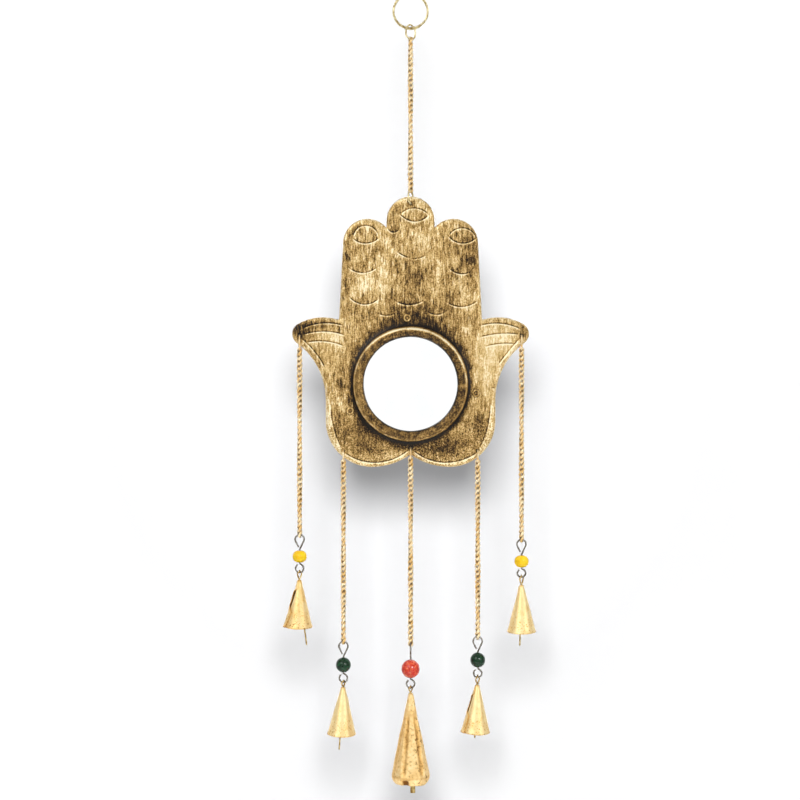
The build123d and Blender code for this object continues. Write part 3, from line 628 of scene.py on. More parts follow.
# Where the gold paint lies thicker or thinner, and where it is smoother: x, z, reach across, reach up, amount
paintPatches = [
    (47.0, 22.0, 12.0, 9.0, 0.26), (40.0, 6.0, 6.0, 12.0, 0.2), (-40.0, -6.0, 5.0, 14.0, 0.07),
    (-58.5, 28.5, 6.0, 6.0, -0.42), (-50.0, 31.5, 12.0, 2.2, -0.2), (59.5, 27.0, 4.0, 5.0, -0.3),
    (-46.0, 24.0, 8.0, 4.0, 0.12), (-15.0, 60.0, 2.2, 20.0, 0.24), (14.5, 64.0, 1.8, 16.0, 0.16),
    (-25.0, 53.5, 5.0, 6.5, 0.26), (2.0, 57.0, 8.0, 9.0, -0.23), (33.0, 66.0, 3.5, 13.0, -0.26),
    (-34.0, 62.0, 3.0, 16.0, -0.18), (6.0, 78.0, 6.0, 8.0, 0.06), (-9.5, 88.0, 2.6, 9.0, -0.1),
    (28.0, 50.0, 4.0, 8.0, 0.1), (19.0, 48.0, 6.0, 8.0, -0.06), (-26.0, 88.0, 8.0, 3.0, 0.1),
    (36.0, -22.0, 7.0, 9.0, -0.22), (-38.0, 20.0, 4.0, 8.0, 0.16), (12.0, -36.0, 10.0, 3.5, -0.16),
    (-8.0, -37.0, 6.0, 2.5, 0.14), (-20.0, -33.0, 12.0, 5.0, -0.22), (0.0, 97.5, 8.0, 3.0, 0.12),
    (20.0, -33.0, 12.0, 5.0, -0.2), (-38.0, -24.0, 6.0, 8.0, -0.18), (1.2, 83.2, 1.4, 0.9, -0.4),
    (27.0, 68.0, 7.0, 10.0, -0.12), (-22.0, 38.0, 8.0, 5.0, -0.12), (20.0, 38.0, 9.0, 6.0, -0.08),
    (50.0, 27.0, 9.0, 4.0, 0.08), (0.0, 40.0, 13.0, 5.0, -0.2), (-41.0, 8.0, 4.0, 8.0, -0.04),
    (-25.0, -23.0, 7.0, 8.0, -0.26), (0.0, -34.0, 9.0, 2.6, -0.28), (18.0, -30.0, 12.0, 5.0, -0.14),
    (-36.0, 2.0, 3.0, 7.0, -0.28), (9.5, 39.5, 5.0, 3.5, -0.18),
]
calmPatches = [(46.0, 20.0, 13.0, 11.0, 0.4), (42.0, 2.0, 6.0, 14.0, 0.3), (-44.0, 18.0, 8.0, 12.0, 0.25),
               (-26.0, -28.0, 15.0, 9.0, 0.3), (26.0, -28.0, 15.0, 9.0, 0.12)]
# Painted light on the hand: a painted shadow in a halo round the mirror, widest above and to the upper right,
# painted shade at the bezel's foot and round the chain holes, and a painted highlight along the bent edge
goldLook = {
    "ground": 0.58, "edgeHighlight": 0.16, "edgeReach": 2.2, "borderGold": 0.1,
    "leftGold": 0.18, "rightGold": 0.1, "flank": (20.0, 40.0), "borderFades": (0.5, 1.1),
    "haloShadow": 0.5, "haloReach": 3.8, "haloAbove": 7.0, "haloCorner": 4.0,
    "seatShade": 0.3, "seatReach": 1.1, "holeShadow": 0.5, "holeReach": 0.45,
    "palmMottle": 0.45, "mottleTop": (-14.0, -26.0),
}


def patchwork(x, z, patches):
    return sum(amount * np.exp(-((x - patchX) / wide) ** 2 - ((z - patchZ) / tall) ** 2)
               for patchX, patchZ, wide, tall, amount in patches)


def goldCover(flat, edge):
    # gold over the ground, with a painted shadow in a halo round the mirror and painted shade at its foot,
    # brighter on the border, a painted highlight along the bent edge, and painted shadow round the holes
    look = goldLook
    x, z = flat[:, 0], flat[:, 1]
    radius = np.linalg.norm(flat, axis=1)
    fromMirror = radius - handSizes["mirrorHole"]
    lower, borderWidth = palmBorder(z)
    # painted shadow in a halo round the mirror, wider above and to the upper right, and painted shade at the
    # bezel's foot
    halo = look["haloReach"] + look["haloAbove"] * np.maximum(z / radius, 0) ** 2
    halo += look["haloCorner"] * np.maximum(x * z, 0) / radius ** 2
    cover = look["ground"] - look["haloShadow"] * (1 - smoothstep(0, 1, fromMirror / halo))
    cover -= look["seatShade"] * np.exp(-(fromMirror / look["seatReach"]) ** 2)
    border = look["borderGold"] + look["leftGold"] * smoothstep(*look["flank"], -x)
    border += look["rightGold"] * smoothstep(*look["flank"], x)
    cover += border * lower * (1 - smoothstep(*look["borderFades"], edge / borderWidth))
    # painted highlight along the bent edge above the palm's border
    cover += look["edgeHighlight"] * (1 - lower) * (1 - smoothstep(0, 1, edge / look["edgeReach"]))
    # painted shadow round the chain holes
    for hole in chainHoles:
        fromHole = np.linalg.norm(flat - hole, axis=1) - handSizes["holeRadius"]
        cover -= look["holeShadow"] * np.exp(-(fromHole / look["holeReach"]) ** 2)
    return cover + patchwork(x, z, paintPatches)


def buildHand():
    size, fine = handSizes, meshSizes
    loops = [handOutline()]
    loops += [ringOf(size["holeRadius"], fine["holeSides"]) + hole for hole in chainHoles]
    loops.append(ringOf(size["mirrorHole"], fine["mirrorSides"]))
    lines = [(arcThrough(*arc[:3], chaseSizes["step"]), arc[3]) for arc in chasedArcs + borderArcs]
    flat, faces, rim = handSheet(loops, lines)
    x, z = flat[:, 0], flat[:, 1]
    edge, _ = nearestOn(flat, loops[0], True)
    edge[rim] = 0.0
    depth, groove, lip = sheetDepth(flat, edge, lines)
    values = {"goldCover": goldCover(flat, edge), "groove": groove, "lip": lip,
              "mottle": goldLook["palmMottle"] * smoothstep(*goldLook["mottleTop"], z),
              "calm": patchwork(x, z, calmPatches)}

    # the rim carries on straight back from the bend
    points = np.column_stack((x, depth, z + mirrorZ))
    wall = points[rim].copy()
    wall[:, 1] = size["rimBack"]
    count, first = len(rim), len(points)
    quads = [(rim[(i + 1) % count], rim[i], first + i, first + (i + 1) % count) for i in range(count)]
    for title, numbers in values.items():
        values[title] = np.append(numbers, np.zeros(count) if title in ("groove", "lip") else numbers[rim])
    hand = newObject("handPlate", np.vstack((points, wall)), faces.tolist() + quads, values)
    thicken(hand, size["sheet"], (handPaint, backPaint))
    settle(hand, "hand", "hand_plate", size["sharpAngle"])


buildHand()


# How a turned piece is out of true: waves round it and over its profile, and smaller ones on them
wobbleSizes = {"around": 2.2, "over": 0.05, "smallShare": 0.4, "smallOften": 4}


def lathe(name, profile, count, wobble=0.0, closed=True):
    # profile of (radius, y) turned about the Y axis through the mirror's centre
    size = wobbleSizes
    points, faces = [], []
    for i in range(count):
        turn = 2 * math.pi * i / count
        for radius, y in profile:
            across, up = size["around"] * math.cos(turn), size["around"] * math.sin(turn)
            spot = Vector((across, up, size["over"] * radius))
            shift = ripple(wobble, 1, spot) + ripple(size["smallShare"] * wobble, size["smallOften"], spot)
            points.append(((radius + shift) * math.cos(turn), y + shift, (radius + shift) * math.sin(turn)))
    rows = len(profile)
    for i in range(count):
        after = (i + 1) % count
        for j in range(rows if closed else rows - 1):
            k = (j + 1) % rows
            faces.append((i * rows + j, i * rows + k, after * rows + k, after * rows + j))
    obj = newObject(name, points, faces)
    work = bmesh.new()
    work.from_mesh(obj.data)
    bmesh.ops.remove_doubles(work, verts=work.verts, dist=1e-7)
    bmesh.ops.recalc_face_normals(work, faces=work.faces)
    work.to_mesh(obj.data)
    work.free()
    return obj


# Rolled bezel round the mirror, and how the gold lies on it, with painted light: a painted highlight along
# the crest, painted shade on its top and lower right, at the inner lip and on the outer wall
bezelSizes = {"outer": 30.5, "sight": 24.8, "crest": -5.2, "foot": -0.4, "lip": -1.95, "sheet": 0.6,
              "wobble": 0.1, "flange": 32.4, "flangeBack": 0.2, "count": 240, "wallRows": 5, "crownRows": 25,
              "insideRows": 13, "sharpAngle": 50.0}
bezelLook = {"ground": 0.34, "aboveShade": 0.13, "sideShade": 0.06, "mottle": 0.3, "calm": 0.45,
             "glintWay": (0.38, 0.92), "crestAt": 0.9, "crestMoves": 0.14, "crestStrays": (0.03, 3.1),
             "crestWidth": 0.06, "crestHighlight": 0.4, "glintGain": 0.48, "crestSide": 0.12,
             "broken": (0.7, 5.0), "coarse": (0.2, 0.35), "fine": (0.18, 1.1),
             "lipShade": 0.35, "lipWidth": 0.09, "wallShade": 0.25, "wallFrom": -2.2}


def bezelGoldAndLight(x, y, z):
    size, look = bezelSizes, bezelLook
    radius = math.hypot(x, z)
    share = (radius - size["sight"]) / (size["outer"] - size["sight"])
    side = (x - z) / radius / 1.42  # 1 at the lower right, -1 at the upper left
    above = max(z / radius, 0.0)
    glint = max((look["glintWay"][0] * x + look["glintWay"][1] * z) / radius, 0.0)
    around, spot = Vector((x / radius, z / radius, 0.0)), Vector((x, z, 0.0))
    # painted highlight along the crest, brightest and widest to the upper right, weaker to the lower right
    offCrest = share - look["crestAt"] + look["crestMoves"] * glint
    offCrest += ripple(*look["crestStrays"], around)
    crest = math.exp(-(offCrest / (look["crestWidth"] * (1 + glint))) ** 2)
    crest *= look["crestHighlight"] + look["glintGain"] * glint - look["crestSide"] * side
    crest *= 1 + ripple(*look["broken"], around)
    brushed = ripple(*look["coarse"], spot) + ripple(*look["fine"], spot)
    # painted shade at the inner lip and on the outer wall
    lip = look["lipShade"] * math.exp(-(share / look["lipWidth"]) ** 2)
    wall = look["wallShade"] if y > look["wallFrom"] else 0.0
    # painted shade on the top and to the lower right
    return look["ground"] - look["aboveShade"] * above - look["sideShade"] * side + crest + brushed - lip - wall


def buildBezel():
    size, look = bezelSizes, bezelLook
    crown = (size["outer"] - size["sight"]) / 2
    middle, springY = size["sight"] + crown, size["crest"] + crown
    outside = [(size["flange"], size["foot"]), (size["outer"], size["foot"])]
    outside += [(size["outer"], y) for y in np.linspace(size["foot"], springY, size["wallRows"])[1:-1]]
    outside += [(middle + crown * math.cos(a), springY - crown * math.sin(a))
                for a in np.linspace(0, math.pi, size["crownRows"])]
    outside += [(size["sight"], (springY + size["lip"]) / 2), (size["sight"], size["lip"])]
    inner, sheet = crown - size["sheet"], size["sheet"]
    inside = [(size["sight"] + sheet, size["lip"])]
    inside += [(middle - inner * math.cos(a), springY - inner * math.sin(a))
               for a in np.linspace(0, math.pi, size["insideRows"])]
    inside += [(size["outer"] - sheet, size["flangeBack"]), (size["flange"], size["flangeBack"])]
    bezel = lathe("mirrorBezel", outside + inside, size["count"], size["wobble"])
    count = len(bezel.data.vertices)
    paintPoints(bezel.data, {
        "goldCover": [bezelGoldAndLight(*(vertex.co / mm)) for vertex in bezel.data.vertices],
        "mottle": np.full(count, look["mottle"]), "calm": np.full(count, look["calm"])})
    bezel.data.transform(Matrix.Translation((0, 0, mirrorZ * mm)))
    bezel.data.materials.append(handPaint)
    settle(bezel, "hand", "mirror_bezel", size["sharpAngle"])


buildBezel()


def startTree(name, sockets):
    tree = bpy.data.node_groups.new(name, "GeometryNodeTree")
    ids = {}
    for title, kind in sockets.items():
        made = tree.interface.new_socket(title, in_out="INPUT", socket_type="NodeSocket" + kind)
        ids[title] = made.identifier
    tree.interface.new_socket("Geometry", in_out="OUTPUT", socket_type="NodeSocketGeometry")
    return tree, ids, addNode(tree, "NodeGroupInput").outputs


def finishTree(tree, geometry, material):
    real = addNode(tree, "GeometryNodeRealizeInstances", {"Geometry": geometry})
    dressed = addNode(tree, "GeometryNodeSetMaterial", {"Geometry": real, "Material": material})
    addNode(tree, "NodeGroupOutput", {"Geometry": dressed})


def runTree(obj, tree, ids, values):
    modifier = obj.modifiers.new(tree.name, "NODES")
    modifier.node_group = tree
    for title, value in values.items():
        modifier[ids[title]] = value
    bakeModifiers(obj)


# Rivets: three flat heads with a stamped ring, set round the bezel. Gold by radius, with a painted highlight
# on the crown, painted shade in the stamped ring and a painted shadow round the head's edge: place, width,
# amount
rivetSizes = {"circle": 35.0, "angles": (93.0, 204.0, 352.0), "sides": 32, "sharpAngle": 50.0,
              "profile": ((0.0, -0.62), (0.45, -0.6), (0.75, -0.42), (1.0, -0.45), (1.25, -0.78),
                          (1.6, -0.82), (1.95, -0.66), (2.2, -0.36), (2.3, 0.0), (1.0, 0.0), (1.0, 1.4),
                          (1.7, 1.4), (1.2, 2.0), (0.0, 2.0)),
              "ground": 0.5, "calm": 0.3, "gold": ((1.55, 0.3, 0.1), (0.85, 0.25, -0.28), (2.25, 0.18, -0.4))}


def buildRivets():
    size = rivetSizes
    tree, ids, given = startTree("rivetsOnPoints", {
        "Geometry": "Geometry", "Rivet": "Object", "Paint": "Material"})
    rivet = addNode(tree, "GeometryNodeObjectInfo", {"Object": given["Rivet"]})
    placed = addNode(tree, "GeometryNodeInstanceOnPoints", {
        "Points": given["Geometry"], "Instance": rivet.outputs["Geometry"]})
    finishTree(tree, placed, given["Paint"])
    head = lathe("rivetHead", size["profile"], size["sides"], closed=False)
    radius = np.array([math.hypot(v.co.x, v.co.z) / mm for v in head.data.vertices])
    # painted highlight on the crown, painted shade in the stamped ring and a painted shadow at the head's
    # edge
    gold = sum(amount * np.exp(-((radius - place) / width) ** 2) for place, width, amount in size["gold"])
    paintPoints(head.data, {"goldCover": size["ground"] + gold, "calm": np.full(len(radius), size["calm"])})
    spots = []
    for angle in np.radians(size["angles"]):
        x, z = size["circle"] * math.cos(angle), size["circle"] * math.sin(angle)
        spots.append((x, handSizes["front"], mirrorZ + z))
    rivets = newObject("mirrorRivets", spots, [])
    runTree(rivets, tree, ids, {"Rivet": head, "Paint": handPaint})
    bpy.data.objects.remove(head)
    settle(rivets, "hand", "mirror_rivets", size["sharpAngle"])


buildRivets()

# Curb chain: oval links twisted about their length, each turned a little on the one above
chainSizes = {"wire": 0.8, "shownWire": 1.45, "halfWidth": 0.92, "linkLength": 3.55, "pitch": 2.6,
              "twist": 170.0, "startTwist": -45.0, "upperTurn": 180.0, "sides": 6, "bends": 14,
              "crevice": (0.7, 0.1), "sharpAngle": 80.0}
hangerSizes = {"links": (16, 15), "firstTurn": 145.0, "turn": 305.0}
strands = {  # x, links of the upper and of the lower stretch, turn over the lower stretch, glass of the bead
    "left_thumb": (-58.8, 20, 18, 180.0, "amberGlass"),
    "left_palm": (-35.6, 19, 18, 180.0, "bottleGreenGlass"),
    "middle": (0.0, 20, 18, 270.0, "marbledRedGlass"),
    "right_palm": (35.6, 19, 17, 180.0, "bottleGreenGlass"),
    "right_thumb": (58.8, 20, 19, 180.0, "amberGlass"),
}


def chainRuns():
    # node: x, links, turn of the first link, turn over the run, body
    upper, lower = hangerSizes["links"]
    first = hangerSizes["firstTurn"]
    upperTurn, lowerTurn = (hangerSizes["turn"] * links / (upper + lower) for links in (upper, lower))
    runs = {"hanger_chain_upper": (0.0, upper, first, upperTurn, "hanger_upper"),
            "hanger_chain_lower": (0.0, lower, first + upperTurn, lowerTurn, "hanger_lower")}
    upperTurn = chainSizes["upperTurn"]
    for strand, (x, upper, lower, lowerTurn, _) in strands.items():
        runs[strand + "_chain_upper"] = (x, upper, 0.0, upperTurn, strand + "_chain_upper")
        runs[strand + "_chain_lower"] = (x, lower, upperTurn, lowerTurn, strand + "_chain_lower")
    return runs


def curbChainTree():
    size = chainSizes
    tree, ids, given = startTree("curbChain", {
        "Links": "Int", "Start": "Vector", "Pitch": "Float", "Half Width": "Float", "Half Length": "Float",
        "Wire Radius": "Float", "Turn": "Float", "Step": "Float", "Metal": "Material"})
    # one link: a circle stretched to an oval and twisted about its length
    circle = addNode(tree, "GeometryNodeCurvePrimitiveCircle", {"Resolution": size["bends"], "Radius": 1.0})
    place = addNode(tree, "GeometryNodeInputPosition")
    parts = addNode(tree, "ShaderNodeSeparateXYZ", (place,)).outputs
    across = addNode(tree, "ShaderNodeMath", (parts["X"], given["Half Width"]), operation="MULTIPLY")
    height = addNode(tree, "ShaderNodeMath", (parts["Y"], given["Half Length"]), operation="MULTIPLY")
    oval = addNode(tree, "ShaderNodeCombineXYZ", {"X": across, "Z": height})
    halfTwist, startTwist = math.radians(size["twist"] / 2), math.radians(size["startTwist"])
    twist = addNode(tree, "ShaderNodeMath", (parts["Y"], halfTwist, startTwist), operation="MULTIPLY_ADD")
    twisted = addNode(tree, "ShaderNodeVectorRotate", {"Vector": oval, "Angle": twist},
                      rotation_type="Z_AXIS")
    path = addNode(tree, "GeometryNodeSetPosition", {"Geometry": circle, "Position": twisted})
    profile = addNode(tree, "GeometryNodeCurvePrimitiveCircle", {
        "Resolution": size["sides"], "Radius": given["Wire Radius"]})
    link = addNode(tree, "GeometryNodeCurveToMesh", {"Curve": path, "Profile Curve": profile})
    # painted shade on the wire facing in towards the link's middle
    normal = addNode(tree, "GeometryNodeInputNormal")
    outward = addNode(tree, "ShaderNodeVectorMath", (place,), operation="NORMALIZE")
    facing = addNode(tree, "ShaderNodeVectorMath", (normal, outward), operation="DOT_PRODUCT")
    hidden = addNode(tree, "ShaderNodeMapRange", (facing.outputs["Value"], *size["crevice"]))
    shaded = addNode(tree, "GeometryNodeStoreNamedAttribute", {
        "Geometry": link, "Name": "crevice", "Value": hidden}, data_type="FLOAT", domain="POINT")
    # the run of links, each a pitch below and a step further round
    drop = addNode(tree, "ShaderNodeMath", (given["Pitch"], -1.0), operation="MULTIPLY")
    down = addNode(tree, "ShaderNodeCombineXYZ", {"Z": drop})
    line = addNode(tree, "GeometryNodeMeshLine", {
        "Count": given["Links"], "Start Location": given["Start"], "Offset": down})
    index = addNode(tree, "GeometryNodeInputIndex")
    angle = addNode(tree, "ShaderNodeMath", (index, given["Step"], given["Turn"]), operation="MULTIPLY_ADD")
    turned = addNode(tree, "FunctionNodeAxisAngleToRotation", {"Axis": (0, 0, 1), "Angle": angle})
    placed = addNode(tree, "GeometryNodeInstanceOnPoints", {
        "Points": line, "Instance": shaded, "Rotation": turned})
    finishTree(tree, placed, given["Metal"])
    return tree, ids


def buildChains():
    size = chainSizes
    tree, ids = curbChainTree()
    halfLength = size["linkLength"] / 2 * mm
    for node, (x, links, turn, spread, body) in chainRuns().items():
        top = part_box(node)[1].z - size["wire"] / 2 * mm
        chain = newObject(node.replace("_", "-"), [], [])
        runTree(chain, tree, ids, {
            "Links": links, "Start": (x * mm, 0.0, top - halfLength), "Pitch": size["pitch"] * mm,
            "Half Width": size["halfWidth"] * mm, "Half Length": halfLength,
            "Wire Radius": size["shownWire"] / 2 * mm, "Turn": math.radians(turn),
            "Step": math.radians(spread / links), "Metal": chainMetal})
        settle(chain, body, node, size["sharpAngle"])


buildChains()

# Bells rolled from sheet. Angles are from +X, so 270 faces the front; sizes in mm down from the tip
smallBell = {"tip": 1.1, "foot": 7.5, "height": 24.4, "band": 0.0, "sheet": 0.45, "overlap": 22.0,
             "dent": 0.16, "columns": 110, "rows": 46, "slitTop": 4.2, "slitBottom": 16.5, "slitWidth": 1.2,
             "flare": 0.18, "droop": 0.6, "ragged": 0.3, "wornFrom": 0.5, "folds": ()}
largeBell = {"tip": 1.1, "foot": 10.2, "height": 43.2, "band": 4.2, "sheet": 0.6, "overlap": 18.0,
             "dent": 0.3, "columns": 160, "rows": 84, "slitTop": 9.0, "slitBottom": 13.0, "slitWidth": 0.8,
             "flare": 0.0,
             "folds": ((247.0, 0.8), (306.0, 1.0), (36.0, 0.7), (85.0, 0.8), (130.0, 0.9), (205.0, 0.7)),
             "foldWidth": 1.1, "foldDepth": 0.85,
             "notchAngle": 252.0, "notchWidth": 1.9, "notchDepth": 1.5, "notchRows": (0.1, 0.45),
             "tuck": 1.7, "tuckCurve": 2.5, "beaten": ((0.1, 0.7), (0.06, 1.6))}
seamSizes = {"lifts": (1 - 46 / 360, 1 - 16 / 360), "air": 0.12, "tapers": (1.5, 4.0), "openLift": 0.4,
             "shade": 0.35, "closedShade": 0.4}
tipSizes = {"radius": 0.6, "rise": 0.25, "plain": 1.0, "overlapShare": 0.3}
bellWork = {  # how any bell's sheet is worked, where it is worn, and where shade is painted in the notch, the tuck and its crease
    "foldFades": (8.0, 15.0), "foldEnds": (0.5, -3.0), "flareReach": 2.0, "dentsPerMm": 0.11,
    "mouthEdge": (0.975, 1.0), "mouthDark": 0.7, "tipEdge": (0.06, 0.0), "tipDark": 0.5,
    "notchShade": 2.2, "tuckShade": 0.35, "creaseShade": 0.5, "creaseAt": 0.2, "creaseWidth": 0.45,
    "rightSide": (-0.4, 0.7), "leastWorn": 0.3,
}
bells = {  # shape, lean towards the left, seam at the tip end and at the mouth, brightness of the plating
    "left_thumb": (smallBell, 1.5, 246.0, 190.0, 0.0), "left_palm": (smallBell, 2.0, 60.0, 70.0, 0.2),
    "middle": (largeBell, 0.0, 308.0, 306.0, 0.0), "right_palm": (smallBell, 2.5, 214.0, 196.0, 0.2),
    "right_thumb": (smallBell, 0.0, 120.0, 110.0, 0.25)}
hangHeight = 0.975  # from the hinge in the pin's eye up to the top of the bell's wire
sheetSharpAngle = 60.0


def apart(degrees, other, radius):
    return math.radians((degrees - other + 180) % 360 - 180) * radius


def bellRow(shape, h):
    # radius, how far the seam gapes and how far the band is tucked in, at h below the tip
    whole = shape["height"] + shape["band"]
    cone = shape["tip"] + (shape["foot"] - shape["tip"]) * min(max(h, 0) / shape["height"], 1)
    radius = tipSizes["radius"] if h < 0 else cone
    radius += shape["flare"] * smoothstep(whole - bellWork["flareReach"], whole, h)
    gape = smoothstep(shape["slitTop"], shape["slitTop"] + seamSizes["tapers"][0], h)
    gape *= smoothstep(shape["slitBottom"], shape["slitBottom"] - seamSizes["tapers"][1], h)
    return radius, gape, max(h - shape["height"], 0) / max(shape["band"], 1)


def bellSurface(shape, seamTop, seamMouth, polish, seed):
    work, join = bellWork, seamSizes
    whole, last = shape["height"] + shape["band"], shape["columns"]
    foldEnds = [shape["height"] + end for end in work["foldEnds"]]
    points, mouth, shade, folds = [], [], [], []
    for h in [-tipSizes["rise"], *np.linspace(0, whole, shape["rows"])]:
        run = min(max(h / whole, 0), 1)
        radius, gape, tucked = bellRow(shape, h)
        inBody = smoothstep(*work["foldFades"], h) * smoothstep(*foldEnds, h)
        rolled = h > tipSizes["plain"]
        overlap = shape["overlap"] * (1 - gape) * (1 if rolled else tipSizes["overlapShare"])
        around = 360 + overlap - math.degrees(shape["slitWidth"] / max(radius, 1)) * gape
        rim = work["mouthDark"] * smoothstep(*work["mouthEdge"], run)
        rim += work["tipDark"] * smoothstep(*work["tipEdge"], run)
        for share in np.arange(last + 1) / last:
            degrees = seamTop + (seamMouth - seamTop) * run + share * around
            turn = math.radians(degrees)
            here = Vector((radius * math.cos(turn), radius * math.sin(turn), -h))
            lift = shape["sheet"] + join["air"] if rolled else 0.0
            lift *= smoothstep(*join["lifts"], share) * (1 - join["openLift"] * gape)
            spot = here * work["dentsPerMm"] + Vector((seed, 0, 0))
            dent = shape["dent"] * noise.noise(spot) * min(run * 3, 1)
            fold, paintedShade, reach, down = 0.0, 0.0, radius + lift + dent, h
            for foldAngle, strength in shape["folds"]:
                away = apart(degrees, foldAngle, radius) / shape["foldWidth"]
                fold = max(fold, strength * inBody * math.exp(-away ** 2))
            if shape["band"]:
                away = apart(degrees, shape["notchAngle"], radius) / shape["notchWidth"]
                punched = smoothstep(*shape["notchRows"], tucked) * math.exp(-away ** 4)
                reach -= shape["tuck"] * tucked ** shape["tuckCurve"]
                reach -= shape["notchDepth"] * punched + shape["foldDepth"] * fold
                reach += sum(ripple(depth, often, here) for depth, often in shape["beaten"])
                # painted shade in the punched notch, the tuck and its crease
                crease = math.exp(-((h - shape["height"] - work["creaseAt"]) / work["creaseWidth"]) ** 2)
                paintedShade = work["notchShade"] * punched + work["tuckShade"] * tucked ** 6
                paintedShade += work["creaseShade"] * crease
                worn = smoothstep(*work["rightSide"], math.cos(turn))
            else:
                ragged = shape["ragged"] * noise.noise(Vector((math.cos(turn), math.sin(turn), seed)))
                down += (ragged - shape["droop"] * math.sin(turn)) * run ** 3
                worn = smoothstep(shape["wornFrom"], 1.0, run)
            points.append((reach * math.cos(turn), reach * math.sin(turn), -down))
            mouth.append(work["leastWorn"] + (1 - work["leastWorn"]) * worn)
            # painted shade along the seam's edge, deeper where it gapes
            fromSeam = (1 - share) * math.radians(360) * radius
            seam = math.exp(-(fromSeam / join["shade"]) ** 2)
            seam *= join["closedShade"] + (1 - join["closedShade"]) * gape
            shade.append(max(rim, seam) - polish)
            folds.append(max(fold, paintedShade))
    return points, {"mouth": mouth, "seamShade": shade, "fold": folds}


def buildBell(strand, shape, lean, seamTop, seamMouth, polish, seed):
    node = strand + "_bell"
    hinge = hinges[strand + "_bell_swing"]
    lean = math.radians(lean)
    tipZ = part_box(node)[1].z / mm - shape["tip"] * math.sin(lean)
    drop = (hinge[2] / mm + hangHeight - tipZ) / math.cos(lean)
    points, values = bellSurface(shape, seamTop, seamMouth, polish, seed)
    wide = shape["columns"] + 1
    faces = []
    for row in range(shape["rows"]):
        for first in range(row * wide, row * wide + shape["columns"]):
            faces.append((first, first + wide, first + wide + 1, first + 1))
    bell = newObject(node.replace("_", "-"), points, faces, values)
    tip = (hinge[0] - drop * math.sin(lean) * mm, 0, tipZ * mm)
    bell.data.transform(Matrix.Translation(tip) @ Matrix.Rotation(lean, 4, "Y"))
    thicken(bell, shape["sheet"], (largeBellBrass if shape["band"] else bellSheet, bellInside))
    settle(bell, node, node, sheetSharpAngle)


for number, (strand, facts) in enumerate(bells.items()):
    buildBell(strand, *facts, seed=number * 5.3)

# Bent wires: the ring's link and the finger's link, warped by hand, and the wires that carry the bells.
# Turns are from the plane of the hand, at the ends of a loop and half way along it. Eyes: half width, rise
wireSizes = {
    "sides": 12, "sharpAngle": 60.0, "linkWire": 0.9, "linkPoints": 81, "cut": 0.015,
    "squareness": 3, "linkTurnFrom": 0.45,
    "links": {"ring_link": (5.3, 62.0, 22.0), "finger_link": (4.4, 90.0, 58.0)},
    "bellWire": 0.8, "longEye": (1.4, 4.8), "shortEye": (1.3, 3.36), "innerEye": (1.05, 3.06),
    "eyePoints": 44, "eyeTurn": 46.0, "eyeTurnFrom": 0.62, "eyeGap": 0.5,
    "shortEyed": ("left_palm", "middle"),
}


def wireTree():
    tree, ids, given = startTree("bentWire", {
        "Geometry": "Geometry", "Wire Radius": "Float", "Sides": "Int", "Metal": "Material"})
    path = addNode(tree, "GeometryNodeMeshToCurve", {"Mesh": given["Geometry"]})
    profile = addNode(tree, "GeometryNodeCurvePrimitiveCircle", {
        "Resolution": given["Sides"], "Radius": given["Wire Radius"]})
    tube = addNode(tree, "GeometryNodeCurveToMesh", {
        "Curve": path, "Profile Curve": profile, "Fill Caps": True})
    finishTree(tree, tube, given["Metal"])
    return tree, ids


bentWire, bentWireIds = wireTree()


def bendWire(node, path, wire, metal, body):
    piece = newObject(node.replace("_", "-"), path, [], edges=[(i, i + 1) for i in range(len(path) - 1)])
    runTree(piece, bentWire, bentWireIds, {
        "Wire Radius": wire / 2 * mm, "Sides": wireSizes["sides"], "Metal": metal})
    settle(piece, body, node, wireSizes["sharpAngle"])


def buildLinks():
    size, wire, cut = wireSizes, wireSizes["linkWire"], wireSizes["cut"]
    for node, (width, endTurn, middleTurn) in size["links"].items():
        low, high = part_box(node)
        x, z, half = (low.x + high.x) / 2 / mm, (low.z + high.z) / 2 / mm, width / 2
        straightRun = (high.z - low.z) / 2 / mm - wire / 2 - half
        path = []
        for a in np.linspace(cut, 2 * math.pi - cut, size["linkPoints"]):
            up = half * math.sin(a) + straightRun * math.tanh(size["squareness"] * math.sin(a))
            ended = smoothstep(size["linkTurnFrom"], 1.0, abs(up) / (half + straightRun))
            turn = math.radians(middleTurn + (endTurn - middleTurn) * ended)
            across = half * math.cos(a)
            path.append((x + across * math.cos(turn), across * math.sin(turn), z + up))
        bendWire(node, path, wire, ringWire, node)


def eyeLoop(halfWidth, rise, endTurn, middleTurn):
    # a drop-shaped eye from its neck at the origin, round its top and back to the neck
    size, widest = wireSizes, 0.77  # of sin a times sin a/2
    loop = []
    for a in np.linspace(0.0, 2 * math.pi - size["eyeGap"], size["eyePoints"]):
        share = (1 - math.cos(a)) / 2
        wide = halfWidth / widest * math.sin(a) * math.sin(a / 2)
        ended = smoothstep(size["eyeTurnFrom"], 1.0, share)
        turn = math.radians(middleTurn + (endTurn - middleTurn) * ended)
        loop.append((wide * math.cos(turn), wide * math.sin(turn), rise * share))
    return np.array(loop)


